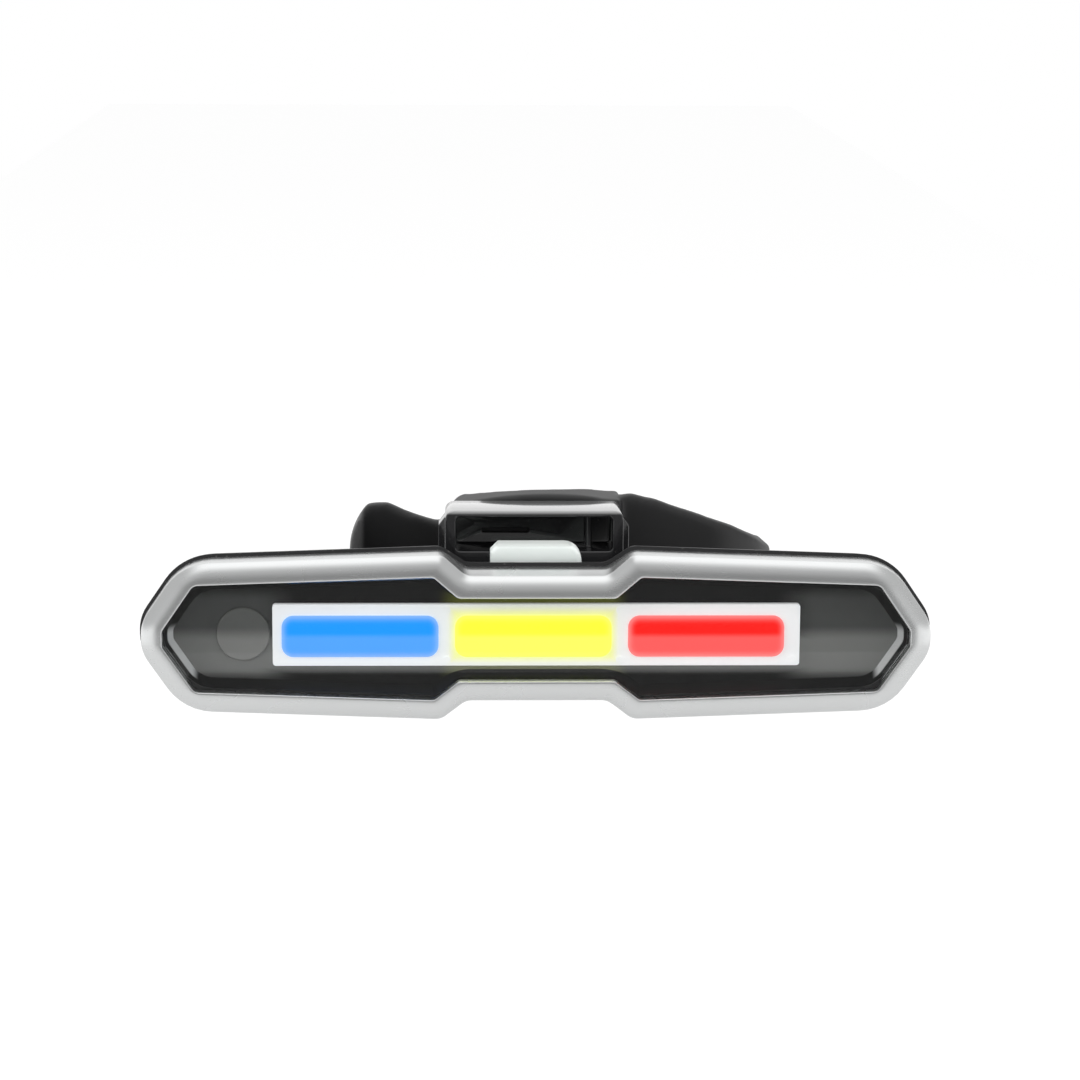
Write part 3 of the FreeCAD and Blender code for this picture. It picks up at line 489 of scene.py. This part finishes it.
def roundedOutline(corners, radius, inset, steps):
    # Every edge moves inwards by the inset. At each corner an arc of the radius less the inset
    # joins the two edges; at a hollow corner it is the radius plus the inset.
    arcSteps, edgeSteps = steps
    corners = np.asarray(corners, float)
    ahead = np.roll(corners, -1, axis=0) - corners
    ahead /= np.linalg.norm(ahead, axis=1, keepdims=True)
    behind = np.roll(ahead, 1, axis=0)
    inAhead = np.stack([-ahead[:, 1], ahead[:, 0]], 1)
    inBehind = np.stack([-behind[:, 1], behind[:, 0]], 1)
    along = (behind * ahead).sum(1)
    moved = corners + inset * (inAhead + inBehind) / (1 + along)[:, None]
    turn = np.arctan2(behind[:, 0] * ahead[:, 1] - behind[:, 1] * ahead[:, 0], along)
    side = np.sign(turn)
    size = np.maximum(radius - side * inset, meshing["smallestRadius"])
    start = moved - behind * (size * np.tan(np.abs(turn) / 2))[:, None]
    spoke = -inBehind * (side * size)[:, None]
    swing = turn[:, None] * np.linspace(0, 1, arcSteps)
    turned = np.stack(
        [
            spoke[:, None, 0] * np.cos(swing) - spoke[:, None, 1] * np.sin(swing),
            spoke[:, None, 0] * np.sin(swing) + spoke[:, None, 1] * np.cos(swing),
        ],
        -1,
    )
    arcs = (start - spoke)[:, None] + turned
    share = np.linspace(0, 1, edgeSteps + 2)[1:-1][None, :, None]
    straights = arcs[:, -1:] * (1 - share) + np.roll(arcs[:, :1], -1, axis=0) * share
    return np.concatenate([arcs, straights], 1).reshape(-1, 2)


def frontPoints(outline, depth):
    # pairs of X and Z in millimetres, and how far back they lie, made points in metres
    depth = np.broadcast_to(depth, outline.shape[:-1])
    return np.stack([outline[..., 0] * mm, faceY + depth * mm, outline[..., 1] * mm], -1)


def sweepOutline(corners, radius, profile, steps):
    # the outline at each inset of the profile, set back by that profile point's depth; a radius that
    # changes with the inset comes as a function
    rows = []
    for inset, depth in profile:
        size = radius(inset) if callable(radius) else radius
        rows.append(frontPoints(roundedOutline(corners, size, inset, steps), depth))
    return np.array(rows)


def workingCopy(nodeName):
    # the node's triangles merged to whole faces, in an object that modifiers can be put on
    mesh = nodes[nodeName].data.copy()
    work = bmesh.new()
    work.from_mesh(mesh)
    bmesh.ops.remove_doubles(work, verts=work.verts, dist=meshing["copyMerge"] * mm)
    flat = math.radians(meshing["flat"])
    bmesh.ops.dissolve_limit(work, angle_limit=flat, verts=work.verts, edges=work.edges)
    work.to_mesh(mesh)
    work.free()
    piece = bpy.data.objects.new("work", mesh)
    bpy.context.collection.objects.link(piece)
    return piece


def finishedMesh(piece, name):
    # the mesh as its modifiers leave it; the working piece goes
    graph = bpy.context.evaluated_depsgraph_get()
    mesh = bpy.data.meshes.new_from_object(piece.evaluated_get(graph))
    mesh.name = name
    bpy.data.objects.remove(piece)
    return mesh


print("tools ready")


# the lamp's outline, from the same corners as the solids
lampOutline = {
    "tip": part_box("front_bezel")[1][0] / mm,
    "endFlat": 3.7,
    "brow": (5.3, 19.1),          # in from the tip, height
    "shoulder": (24.4, 21.4),     # span, height
    "waist": (18.0, 17.1),
    "radii": (5.0, 7.2, 2.2, 2.2),    # of those four corners, in turn
    "steps": (7, 5),              # points on each arc, and between two arcs
}


def lampCorners(waistTop=lampOutline["waist"][1], waistBottom=lampOutline["waist"][1]):
    # a quarter from the tip to the waist, mirrored for the upper half, which is turned round for the lower
    def half(waistHeight):
        tip, brow, shoulder = lampOutline["tip"], lampOutline["brow"], lampOutline["shoulder"]
        quarter = [
            (tip, lampOutline["endFlat"] / 2),
            (tip - brow[0], brow[1] / 2),
            (shoulder[0] / 2, shoulder[1] / 2),
            (lampOutline["waist"][0] / 2, waistHeight / 2),
        ]
        return quarter + [(-x, z) for x, z in reversed(quarter)]

    return half(waistTop) + [(-x, -z) for x, z in half(waistBottom)]


lampRadii = np.array((lampOutline["radii"] + lampOutline["radii"][::-1]) * 2)
lampTurns = np.array((1, 1, 1, -1, -1, 1, 1, 1) * 2)      # 1 at an outer corner, -1 at a hollow one


bezel = {
    "depth": 5.0,
    "crownWidth": 2.6,        # from the outer wall in to the window's edge
    "crownDepth": 1.5,        # how far the outer wall's front lies behind it
    "crownSteps": 19,
    "lip": 0.14,              # radius of the round at the window
    "lipStep": 4,             # it takes every fourth of the crown's angles
    "windowCorner": 1.0,
    "waistFront": (15.9, 16.5),   # twice the waist's reach above and below, in front
    "windowInset": 2.8,
    "bandBack": 1.2,
    "bandCrease": 0.1,        # a row this far in front keeps the band's back edge crisp
    "wall": 1.2,
    "backEdge": (0.12, 0.15),     # the outer wall's back edge: how far in, how far forward
    "sharpAngle": 50.0,
    "finish": dict(
        colour=(0.72, 0.73, 0.73),
        roughness=0.27,
        grain=1800.0,
        depth=0.0012,
        drift=0.03,
        roughDrift=0.06,
        scuffs=0.01,
        sockets={"Metallic": 1.0},
    ),
}


def windowRadii(inset):
    # the corners' radii go over to the window's with the square of the way in; roundedOutline takes the
    # inset off a radius, and puts it on at a hollow corner, so that is undone first
    share = min(inset / bezel["windowInset"], 1.0) ** 2
    return lampRadii * (1 - share) + (bezel["windowCorner"] + lampTurns * inset) * share


def makeBezel():
    # profile: outer wall, a quarter ellipse over the whole band, a small round at the window, then back
    # along the inside
    swing = np.linspace(0, math.pi / 2, bezel["crownSteps"])
    wide, deep, lip, back = bezel["crownWidth"], bezel["crownDepth"], bezel["lip"], bezel["depth"]
    crown = np.stack([wide * (1 - np.cos(swing)), deep * (1 - np.sin(swing))], 1)
    turn = swing[bezel["lipStep"] :: bezel["lipStep"]]
    edge = np.stack([wide + lip * np.sin(turn), lip * (1 - np.cos(turn))], 1)
    inwards, forwards = bezel["backEdge"]
    outside = [(inwards, back), (0.0, back - forwards), (0.0, (back + deep) / 2)]
    inside = [
        (bezel["windowInset"], bezel["bandBack"] - bezel["bandCrease"]),
        (bezel["windowInset"], bezel["bandBack"]),
        (bezel["wall"], bezel["bandBack"]),
        (bezel["wall"], back),
    ]
    profile = outside + crown.tolist() + edge.tolist() + inside
    # the waist's height above and below at each depth, from its front value to the casing's
    depths = [depth for inset, depth in profile]
    ends = [(front, lampOutline["waist"][1]) for front in bezel["waistFront"]]
    waists = [np.interp(depths, [deep, back], pair) for pair in ends]
    rows = [
        sweepOutline(lampCorners(top, bottom), windowRadii, [point], lampOutline["steps"])
        for top, bottom, point in zip(*waists, profile)
    ]
    material = makeFinish("platedTrim", **bezel["finish"])
    grid, sharp = np.concatenate(rows), bezel["sharpAngle"]
    makePiece("bezel_ring", grid, "lamp", material, ["front_bezel"], sharp, closed=True)


makeBezel()
print("bezel made")


lens = {
    "windowInset": 3.0,
    "edgeDepth": 0.95,        # front of the window beside the bezel
    "barHeight": 8.8,         # the raised bar that runs along the window's middle
    "barRise": 0.14,
    "flangeInset": 1.35,
    "flangeFront": 1.25,
    "back": 2.25,
    "rows": 61,               # points from the window's top to its bottom
    "sharpAngle": 30.0,
    "finish": dict(
        colour=(0.97, 0.98, 0.98),
        roughness=0.012,
        grain=300.0,
        depth=0.0001,
        drift=0.01,
        roughDrift=0.01,
        sockets={"Transmission Weight": 1.0, "IOR": 1.40},
    ),
}


def lensMaterial():
    # clear to the light that falls through it onto the board
    material = makeFinish("clearLens", **lens["finish"])
    tree = material.node_tree
    shadow = tree.nodes.new("ShaderNodeLightPath").outputs["Is Shadow Ray"]
    clear = tree.nodes.new("ShaderNodeBsdfTransparent")
    both = mixShaders(tree, shadow, tree.nodes["Principled BSDF"], clear)
    tree.links.new(both.outputs[0], tree.nodes["Material Output"].inputs["Surface"])
    return material


def makeLens():
    # One closed loop for each place along the lamp: down the front, out over the flange, up the back and
    # home. The raised bar falls with the square of the height over half its own height.
    def upperHalf(inset):
        steps = lampOutline["steps"]
        outline = roundedOutline(lampCorners(), windowRadii(inset), inset, steps)
        return outline[: len(outline) // 2 - steps[1]]

    window, flange = upperHalf(lens["windowInset"]), upperHalf(lens["flangeInset"])
    share = np.linspace(1, -1, lens["rows"])
    height = window[:, 1:] * share
    fall = np.minimum((2 * height / lens["barHeight"]) ** 2, 1)
    depth = lens["edgeDepth"] - lens["barRise"] * (1 - fall)
    front = frontPoints(np.stack([np.broadcast_to(window[:, :1], height.shape), height], -1), depth)
    flangeHeight = flange[:, 1:] * share
    flat = np.stack([np.broadcast_to(flange[:, :1], flangeHeight.shape), flangeHeight], -1)
    rim = frontPoints(np.stack([window, window * [1, -1]], 1), lens["flangeFront"])
    edge = frontPoints(np.stack([flange, flange * [1, -1]], 1), lens["flangeFront"])
    back = frontPoints(flat, lens["back"])[:, ::-1]
    loops = np.concatenate([front, rim[:, 1:], edge[:, 1:], back, edge[:, :1], rim[:, :1]], 1)
    # each end closes on a loop that reaches out to the flange's own end
    ends = loops[[0, -1]].copy()
    ends[..., 0] = flange[[0, -1], 0][:, None] * mm
    ends[..., 1] = np.maximum(ends[..., 1], faceY + lens["flangeFront"] * mm)
    loops = np.concatenate([ends[:1], loops, ends[1:]], 0)
    sharp = lens["sharpAngle"]
    makePiece("lens_pane", loops, "lamp", lensMaterial(), ["front_lens"], sharp)


makeLens()
print("lens made")


strips = {
    "colours": {
        # colour, strength, how pale its rim is, and how pale its lower half is from a painted reflection
        "blue": ((0.003, 0.28, 0.88), 0.82, 0.30, 0.10),
        "yellow": ((0.80, 0.96, 0.030), 0.95, 0.12, 0.10),
        "red": ((0.92, 0.004, 0.001), 0.84, 0.30, 0.13),
    },
    "stripReflectionTurn": (0.5, -0.4),     # heights over which the lower half's painted reflection comes in
    "short": 0.3,             # the dome ends this far under its tape's top edge
    "cornerRadius": 1.5,
    "rise": 0.7,
    "wallShare": 0.30,        # how much of the rise is the upright edge
    "domeWidth": 1.9,
    "domeSteps": 12,
    "steps": (9, 11),
    "rim": (0.02, 0.50),      # depths behind the crest over which the rim's paler tone comes in
    "unlit": 0.55,            # the gel's own colour as a share of its glow's
    "finish": dict(roughness=0.35, grain=900.0, depth=0.01, drift=0.10),
    "sockets": {
        "Specular IOR Level": 0.12,
        "Subsurface Weight": 0.2,
        "Subsurface Radius": (1.0, 1.0, 1.0),
        "Subsurface Scale": 0.4 * mm,
    },
}


def stripMaterial(colour, crest):
    # a painted reflection pales the glow in the lower half; it pales too where the dome falls away behind
    # its crest
    tint, glow, pale, low = strips["colours"][colour]
    shade = tuple(strips["unlit"] * level for level in tint)
    sockets = {"Emission Strength": glow, **strips["sockets"]}
    material = makeFinish("gel_" + colour, shade, **strips["finish"], sockets=sockets)
    tree = material.node_tree
    across, depth, height = objectAxes(tree)
    rim, reflectedLower = [tuple(level * (1 - paler) + paler for level in tint) for paler in (pale, low)]
    face = mixed(tree, fade(tree, height, *strips["stripReflectionTurn"]), tint, reflectedLower)
    share = fade(tree, distanceFrom(tree, depth, crest), *strips["rim"])
    emission = tree.nodes["Principled BSDF"].inputs["Emission Color"]
    tree.links.new(mixed(tree, share, face, rim), emission)
    return material


def makeStrips():
    # profile: a short upright edge, then a dome that falls with the cube of the way to its edge
    share, wall = np.linspace(0, 1, strips["domeSteps"]), strips["wallShare"]
    inset = strips["domeWidth"] * share
    lift = strips["rise"] * (wall + (1 - wall) * (1 - (1 - share) ** 3))
    for colour in strips["colours"]:
        low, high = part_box(colour + "_led_strip")
        base = (high[1] - faceY) / mm
        profile = [(0.0, base)] + np.stack([inset, base - lift], 1).tolist()
        left, right = low[0] / mm, high[0] / mm
        bottom, top = low[2] / mm, high[2] / mm - strips["short"]
        corners = [(right, bottom), (right, top), (left, top), (left, bottom)]
        grid = sweepOutline(corners, strips["cornerRadius"], profile, strips["steps"])
        material = stripMaterial(colour, high[1] - strips["rise"] * mm)
        makePiece(colour + "_gel", grid, "lamp", material, [colour + "_led_strip"])


makeStrips()
print("strips made")


button = {
    "chamfer": 1.0,
    "round": 2.2,
    "roundSteps": 7,
    "cornerRadius": 0.3,
    "edge": 0.45,             # radius of its rolled front and back edges
    "edgeSteps": 6,
    "steps": (5, 3),
    "breadth": 3.6,
    "flange": 0.6,
    # painted shade: the top face coloured darker than the light above makes it
    "topShadeColour": (0.58, 0.61, 0.59),
    "topShadeFade": (0.4, 0.1),        # from this far under the top face up to it
    "finish": dict(
        colour=(0.82, 0.87, 0.845),
        roughness=0.42,
        grain=1500.0,
        depth=0.01,
        drift=0.08,
        sockets={
            "Subsurface Weight": 0.5,
            "Subsurface Radius": (1.0, 1.0, 1.0),
            "Subsurface Scale": 1.0 * mm,
            "Specular IOR Level": 0.2,
        },
    ),
}


def makeButton():
    # front view: a chamfer at the left end, a large round at the right; its front and back edges roll over
    low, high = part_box("power_button")
    left, right = low[0] / mm + button["flange"], high[0] / mm - button["flange"]
    bottom, top = low[2] / mm, high[2] / mm
    front = (high[1] - faceY) / mm - button["breadth"]
    back = front + button["breadth"]
    swing = np.linspace(0, math.pi / 2, button["roundSteps"])
    middle = np.array([right, top]) - button["round"]
    roundEnd = middle + button["round"] * np.stack([np.cos(swing), np.sin(swing)], 1)
    corners = [(left, bottom), (right, bottom)] + roundEnd.tolist()
    corners += [(left + button["chamfer"], top), (left, top - button["chamfer"])]
    roll = np.linspace(0, math.pi / 2, button["edgeSteps"])
    inset, fall = button["edge"] * (1 - np.sin(roll)), button["edge"] * (1 - np.cos(roll))
    frontEdge, backEdge = np.stack([inset, front + fall], 1), np.stack([inset, back - fall], 1)
    profile = frontEdge.tolist() + backEdge[::-1].tolist()
    grid = sweepOutline(corners, button["cornerRadius"], profile, button["steps"])
    material = makeFinish("buttonMilky", **button["finish"])
    # painted shade on the top face
    tintAlong(material, "Z", [top - below for below in button["topShadeFade"]], button["topShadeColour"])
    makePiece("button_cap", grid, "button", material, ["power_button"])


makeButton()
print("button made")


sealRubber = dict(colour=(0.030, 0.030, 0.030), roughness=0.65, grain=3200.0, depth=0.02, dust=0.3)
moulded = {
    # node: slot, body, edge radius, finish
    "rear_casing": (
        "casing_black",
        "lamp",
        0.35,
        dict(colour=(0.016, 0.016, 0.017), roughness=0.42, grain=2600.0, depth=0.02, scuffs=0.10, dust=0.15),
    ),
    "bracket": (
        "bracket_black",
        "mount",
        0.40,
        dict(
            colour=(0.010, 0.010, 0.011),
            roughness=0.12,
            grain=700.0,
            depth=0.003,
            roughDrift=0.08,
            scuffs=0.10,
            dust=0.06,
            sockets={"Coat Weight": 1.0, "Coat Roughness": 0.10},
        ),
    ),
    "socket_cover": ("seal_rubber", "cover", 0.15, sealRubber),
    "cover_anchor": ("seal_rubber", "lamp", 0.15, sealRubber),
}
bracketTopHighlight = {
    # painted highlight: the top face coloured bright, standing in for the light from above
    "colour": (0.36, 0.36, 0.36),
    "fade": (0.6, 0.15),          # from this far under the top face up to it
}


def softenedPiece(nodeName, width, material, body):
    # the node's own shape with its sharp edges rounded, as a moulded part has them
    work = workingCopy(nodeName)
    bevel = work.modifiers.new("edges", "BEVEL")
    bevel.width = width * mm
    bevel.segments = meshing["edgeSteps"]
    bevel.limit_method = "ANGLE"
    bevel.angle_limit = math.radians(meshing["edgeAngle"])
    bevel.use_clamp_overlap = True
    bevel.miter_outer = "MITER_ARC"
    name = nodeName + "_moulded"
    dressPiece(name, finishedMesh(work, name), body, material, [nodeName])


def makeMoulded():
    for nodeName, (slotName, body, width, finish) in moulded.items():
        material = makeFinish(nodeName + "_finish", **finish)
        if nodeName == "bracket":
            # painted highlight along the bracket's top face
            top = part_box("bracket")[1][2] / mm
            tintAlong(material, "Z", [top - below for below in bracketTopHighlight["fade"]], bracketTopHighlight["colour"])
        softenedPiece(nodeName, width, material, body)


makeMoulded()
print("moulded pieces made")


strap = {
    "voxel": 0.32,
    "smooth": 24,             # rounds of smoothing
    "smoothShare": 0.5,       # how far a point goes towards its neighbours in each
    "sharpAngle": 180.0,      # smooth all over
    # middle, spread, rise, and the half height there
    "swells": [
        (-10.2, 0.9, 0.45, 14.0),
        (-3.0, 9.0, 0.25, 14.0),
        (9.6, 1.9, -0.2, 14.0),
        (12.0, 1.6, -0.25, 14.0),
        (12.9, 1.8, 0.60, 14.0),
        (16.3, 2.0, 0.36, 13.0),
        (21.0, 5.0, 0.25, 11.0),
        (26.8, 2.6, 0.26, 9.0),
        (32.0, 1.5, -0.45, 4.7),
    ],
    "gripHighlightColour": (0.095, 0.095, 0.096),    # painted highlight: the pull tab's end coloured lighter, where light falls on it
    "gripHighlightFade": (-22.1, -22.9),
    "tailLitColour": (0.014, 0.014, 0.0145),   # painted light: the side that the light falls on, coloured lighter
    "tailLitFade": (8.0, 20.0),
    "finish": dict(
        colour=(0.008, 0.008, 0.0085),
        roughness=0.48,
        grain=1700.0,
        depth=0.015,
        drift=0.5,
        scuffs=0.06,
    ),
}


def makeStrap():
    # the moulded shape with its edges rolled soft, as silicone leaves the mould
    work = workingCopy("strap")
    remesh = work.modifiers.new("skin", "REMESH")
    remesh.mode = "VOXEL"
    remesh.voxel_size = strap["voxel"] * mm
    smooth = work.modifiers.new("soften", "SMOOTH")
    smooth.factor = strap["smoothShare"]
    smooth.iterations = strap["smooth"]
    mesh = finishedMesh(work, "strap_body")
    # each swell is its rise times a bell over the distance from its middle, and dies out towards the
    # strap's middle line
    points = np.empty(len(mesh.vertices) * 3, dtype=np.float32)
    mesh.vertices.foreach_get("co", points)
    points = points.reshape(-1, 3)
    for middle, spread, rise, halfHeight in strap["swells"]:
        bell = np.exp(-(((points[:, 0] / mm - middle) / spread) ** 2))
        points[:, 2] += rise * mm * bell * np.clip(points[:, 2] / (halfHeight * mm), 0, 1) ** 2
    mesh.vertices.foreach_set("co", points.ravel())
    material = makeFinish("strapSilicone", **strap["finish"])
    # painted light on the tail's lit side
    tintAlong(material, "X", strap["tailLitFade"], strap["tailLitColour"])
    # painted highlight on the pull tab's end
    tintAlong(material, "X", strap["gripHighlightFade"], strap["gripHighlightColour"])
    sharp = strap["sharpAngle"]
    dressPiece("strap_body", mesh, "mount", material, ["strap"], sharp)
    print("strap:", len(mesh.polygons), "faces")


makeStrap()


board = {
    "finish": dict(colour=(0.92, 0.93, 0.93), roughness=0.38, grain=2200.0, depth=0.006, drift=0.04),
    "paintedGlowColour": (0.95, 0.98, 1.0),      # painted glow: emission standing in for its own lamps' light on it
    "glow": 0.26,
    "tint": (1.0, 1.0, 0.40),
    "stripLightReach": (1.3, -0.4),     # from the middle strip's outline; a painted pool of that strip's yellow light
}
boardPaintedGlow = {"Emission Color": (*board["paintedGlowColour"], 1.0), "Emission Strength": board["glow"]}
metal = {"Metallic": 1.0}
finishes = {
    # finish: the nodes that wear it, what it is like
    "lens_seal": (["lens_seal"], dict(colour=(0.03, 0.03, 0.03), roughness=0.7, grain=3000.0)),
    # painted glow on the pads, the same as the board's
    "solder": (
        ["led_board_pads"],
        dict(colour=(0.90, 0.91, 0.90), roughness=0.4, grain=1500.0, sockets=boardPaintedGlow),
    ),
    "smoked": (
        ["indicator_window"],
        dict(colour=(0.25, 0.25, 0.24), roughness=0.25, grain=600.0, depth=0.002),
    ),
    "package": (["indicator_lamp"], dict(colour=(0.80, 0.78, 0.55), roughness=0.4, grain=2000.0)),
    "steel": (
        ["casing_screws", "circuit_screws", "pivot_sleeve", "pivot_screw", "spring_washer", "strap_stud"],
        dict(colour=(0.52, 0.52, 0.53), roughness=0.32, grain=1400.0, scuffs=0.2, sockets=metal),
    ),
    "brass": (
        ["pivot_insert"],
        dict(colour=(0.72, 0.55, 0.25), roughness=0.3, grain=1400.0, scuffs=0.15, sockets=metal),
    ),
    "circuit": (
        ["main_circuit_board"],
        dict(colour=(0.02, 0.18, 0.07), roughness=0.3, grain=1200.0, depth=0.006),
    ),
    "chip": (
        ["control_chip", "switch_body", "socket_tongue"],
        dict(colour=(0.03, 0.03, 0.03), roughness=0.6, grain=2600.0),
    ),
    "coil": (["power_coil"], dict(colour=(0.12, 0.12, 0.13), roughness=0.55, grain=2200.0)),
    "ceramic": (["small_board_parts"], dict(colour=(0.48, 0.36, 0.24), roughness=0.45, grain=2400.0)),
    "foil": (
        ["battery_cell"],
        dict(colour=(0.70, 0.71, 0.73), roughness=0.34, grain=900.0, depth=0.02, sockets=metal),
    ),
    "foam": (["battery_foam"], dict(colour=(0.10, 0.10, 0.10), roughness=0.9, grain=4200.0, depth=0.06)),
    "wire": (
        ["battery_leads", "led_leads"],
        dict(colour=(0.55, 0.03, 0.03), roughness=0.4, grain=1500.0),
    ),
    "plunger": (["switch_plunger"], dict(colour=(0.05, 0.05, 0.05), roughness=0.5, grain=2400.0)),
    "socket": (
        ["charging_socket"],
        dict(colour=(0.70, 0.70, 0.71), roughness=0.28, grain=1600.0, scuffs=0.15, sockets=metal),
    ),
}
tray = {
    "finish": dict(
        colour=(0.004, 0.004, 0.004),
        roughness=0.34,
        grain=400.0,
        depth=0.0005,
        roughDrift=0.1,
        sockets={"Specular IOR Level": 0.15, "Emission Strength": 1.0},
    ),
    "floorDepth": 4.15,
    "floorFade": 0.1,
    "fieldUpper": (0.075, 0.077, 0.075),
    "fieldLowerReflected": (0.215, 0.218, 0.210),
    "windowUpper": (0.100, 0.102, 0.097),     # the smoked window's upper half, painted darker as well, against the painted reflection below
    "reflectionTurn": (1.0, -1.0),     # heights over which the field goes from its upper tone to its lower one, paler with a painted reflection
    "fieldStart": (30.0, 36.0),   # the fields lie beyond the board's ends and fade in between these
    "fieldFade": (6.6, 4.2),      # and they fade in between these heights
    "bandFade": (5.6, 4.2),       # below the board it is a narrow band of the painted reflection
    # painted highlight along the foot of the end walls, standing in for the lens's edge catching the light
    "edgeHighlightColour": (0.62, 0.63, 0.63),
    "lineStart": (43.0, 44.0),
    "lineDepth": (3.1, 3.3),
    "lineTop": (1.6, 0.1),
    "spill": (0.056, 0.062, 0.004),
    "spillReach": (2.5, -0.5),    # from the middle strip's ends
}


def stripSpan(axis):
    # the middle strip's middle and half its size, in metres
    low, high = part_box("yellow_led_strip")
    return (low[axis] + high[axis]) / 2, (high[axis] - low[axis]) / 2


def trayMaterial():
    # polished black, but for a satin charcoal field on the floor beyond each end of the board, paler in its
    # lower half with a painted reflection, and a painted highlight along the foot of the two end walls
    material = makeFinish("trayBlack", **tray["finish"])
    tree = material.node_tree
    shader = tree.nodes["Principled BSDF"]

    def both(first, second):
        return compute(tree, "MULTIPLY", first, second)

    across, depth, height = objectAxes(tree)
    reach, away = distanceFrom(tree, across), distanceFrom(tree, height)
    face, floor = faceY / mm, faceY / mm + tray["floorDepth"]
    onFloor = fade(tree, depth, floor - tray["floorFade"], floor)
    reflectedLower = fade(tree, height, *tray["reflectionTurn"])
    within = both(onFloor, fade(tree, away, *tray["fieldFade"]))
    band = both(reflectedLower, fade(tree, away, *tray["bandFade"]))
    beside = compute(tree, "MAXIMUM", fade(tree, reach, *tray["fieldStart"]), band)
    # painted highlight: a pale line at the foot of the end walls
    atEnd = both(fade(tree, reach, *tray["lineStart"]), fade(tree, height, *tray["lineTop"]))
    line = both(atEnd, fade(tree, depth, *[face + deep for deep in tray["lineDepth"]]))
    plain = shader.inputs["Base Color"].links[0].from_socket
    walls = mixed(tree, line, plain, tray["edgeHighlightColour"])
    field = mixed(tree, reflectedLower, tray["fieldUpper"], tray["fieldLowerReflected"])
    bare = mixed(tree, onFloor, walls, plain)
    tree.links.new(mixed(tree, both(beside, within), bare, field), shader.inputs["Base Color"])
    # the middle strip's light on the floor above and below it
    middle, half = stripSpan(0)
    ends = [half / mm + beyond for beyond in tray["spillReach"]]
    near = fade(tree, distanceFrom(tree, across, middle), *ends)
    spill = mixed(tree, both(near, within), (0.0, 0.0, 0.0), tray["spill"])
    tree.links.new(spill, shader.inputs["Emission Color"])
    return material


def boardMaterial():
    # white lacquer with a faint weave of the laminate under it, a painted glow of its own lamps' light, and
    # a painted pool of the middle strip's yellow light beside it
    material = makeFinish("boardWhite", **board["finish"], sockets=boardPaintedGlow)
    tree = material.node_tree
    shader = tree.nodes["Principled BSDF"]
    across, depth, height = objectAxes(tree)
    beyond = []
    for value, (middle, half) in ((across, stripSpan(0)), (height, stripSpan(2))):
        beyond.append(compute(tree, "SUBTRACT", distanceFrom(tree, value, middle), half))
    near = fade(tree, compute(tree, "MAXIMUM", *beyond), *board["stripLightReach"])
    plain = shader.inputs["Base Color"].links[0].from_socket
    for label, first in (("Base Color", plain), ("Emission Color", board["paintedGlowColour"])):
        tree.links.new(mixed(tree, near, first, board["tint"]), shader.inputs[label])
    return material


def wear(nodeName, material):
    for item in nodes[nodeName].material_slots:
        item.material = material


def makeFinishes():
    for kind, (names, finish) in finishes.items():
        material = makeFinish(kind + "_finish", **finish)
        if kind == "smoked":
            # painted shade: the smoked window darker in its upper half
            tintAlong(material, "Z", tray["reflectionTurn"][::-1], tray["windowUpper"])
        for nodeName in names:
            wear(nodeName, material)
    wear("reflector_tray", trayMaterial())
    wear("led_board", boardMaterial())


makeFinishes()
print("finishes set")
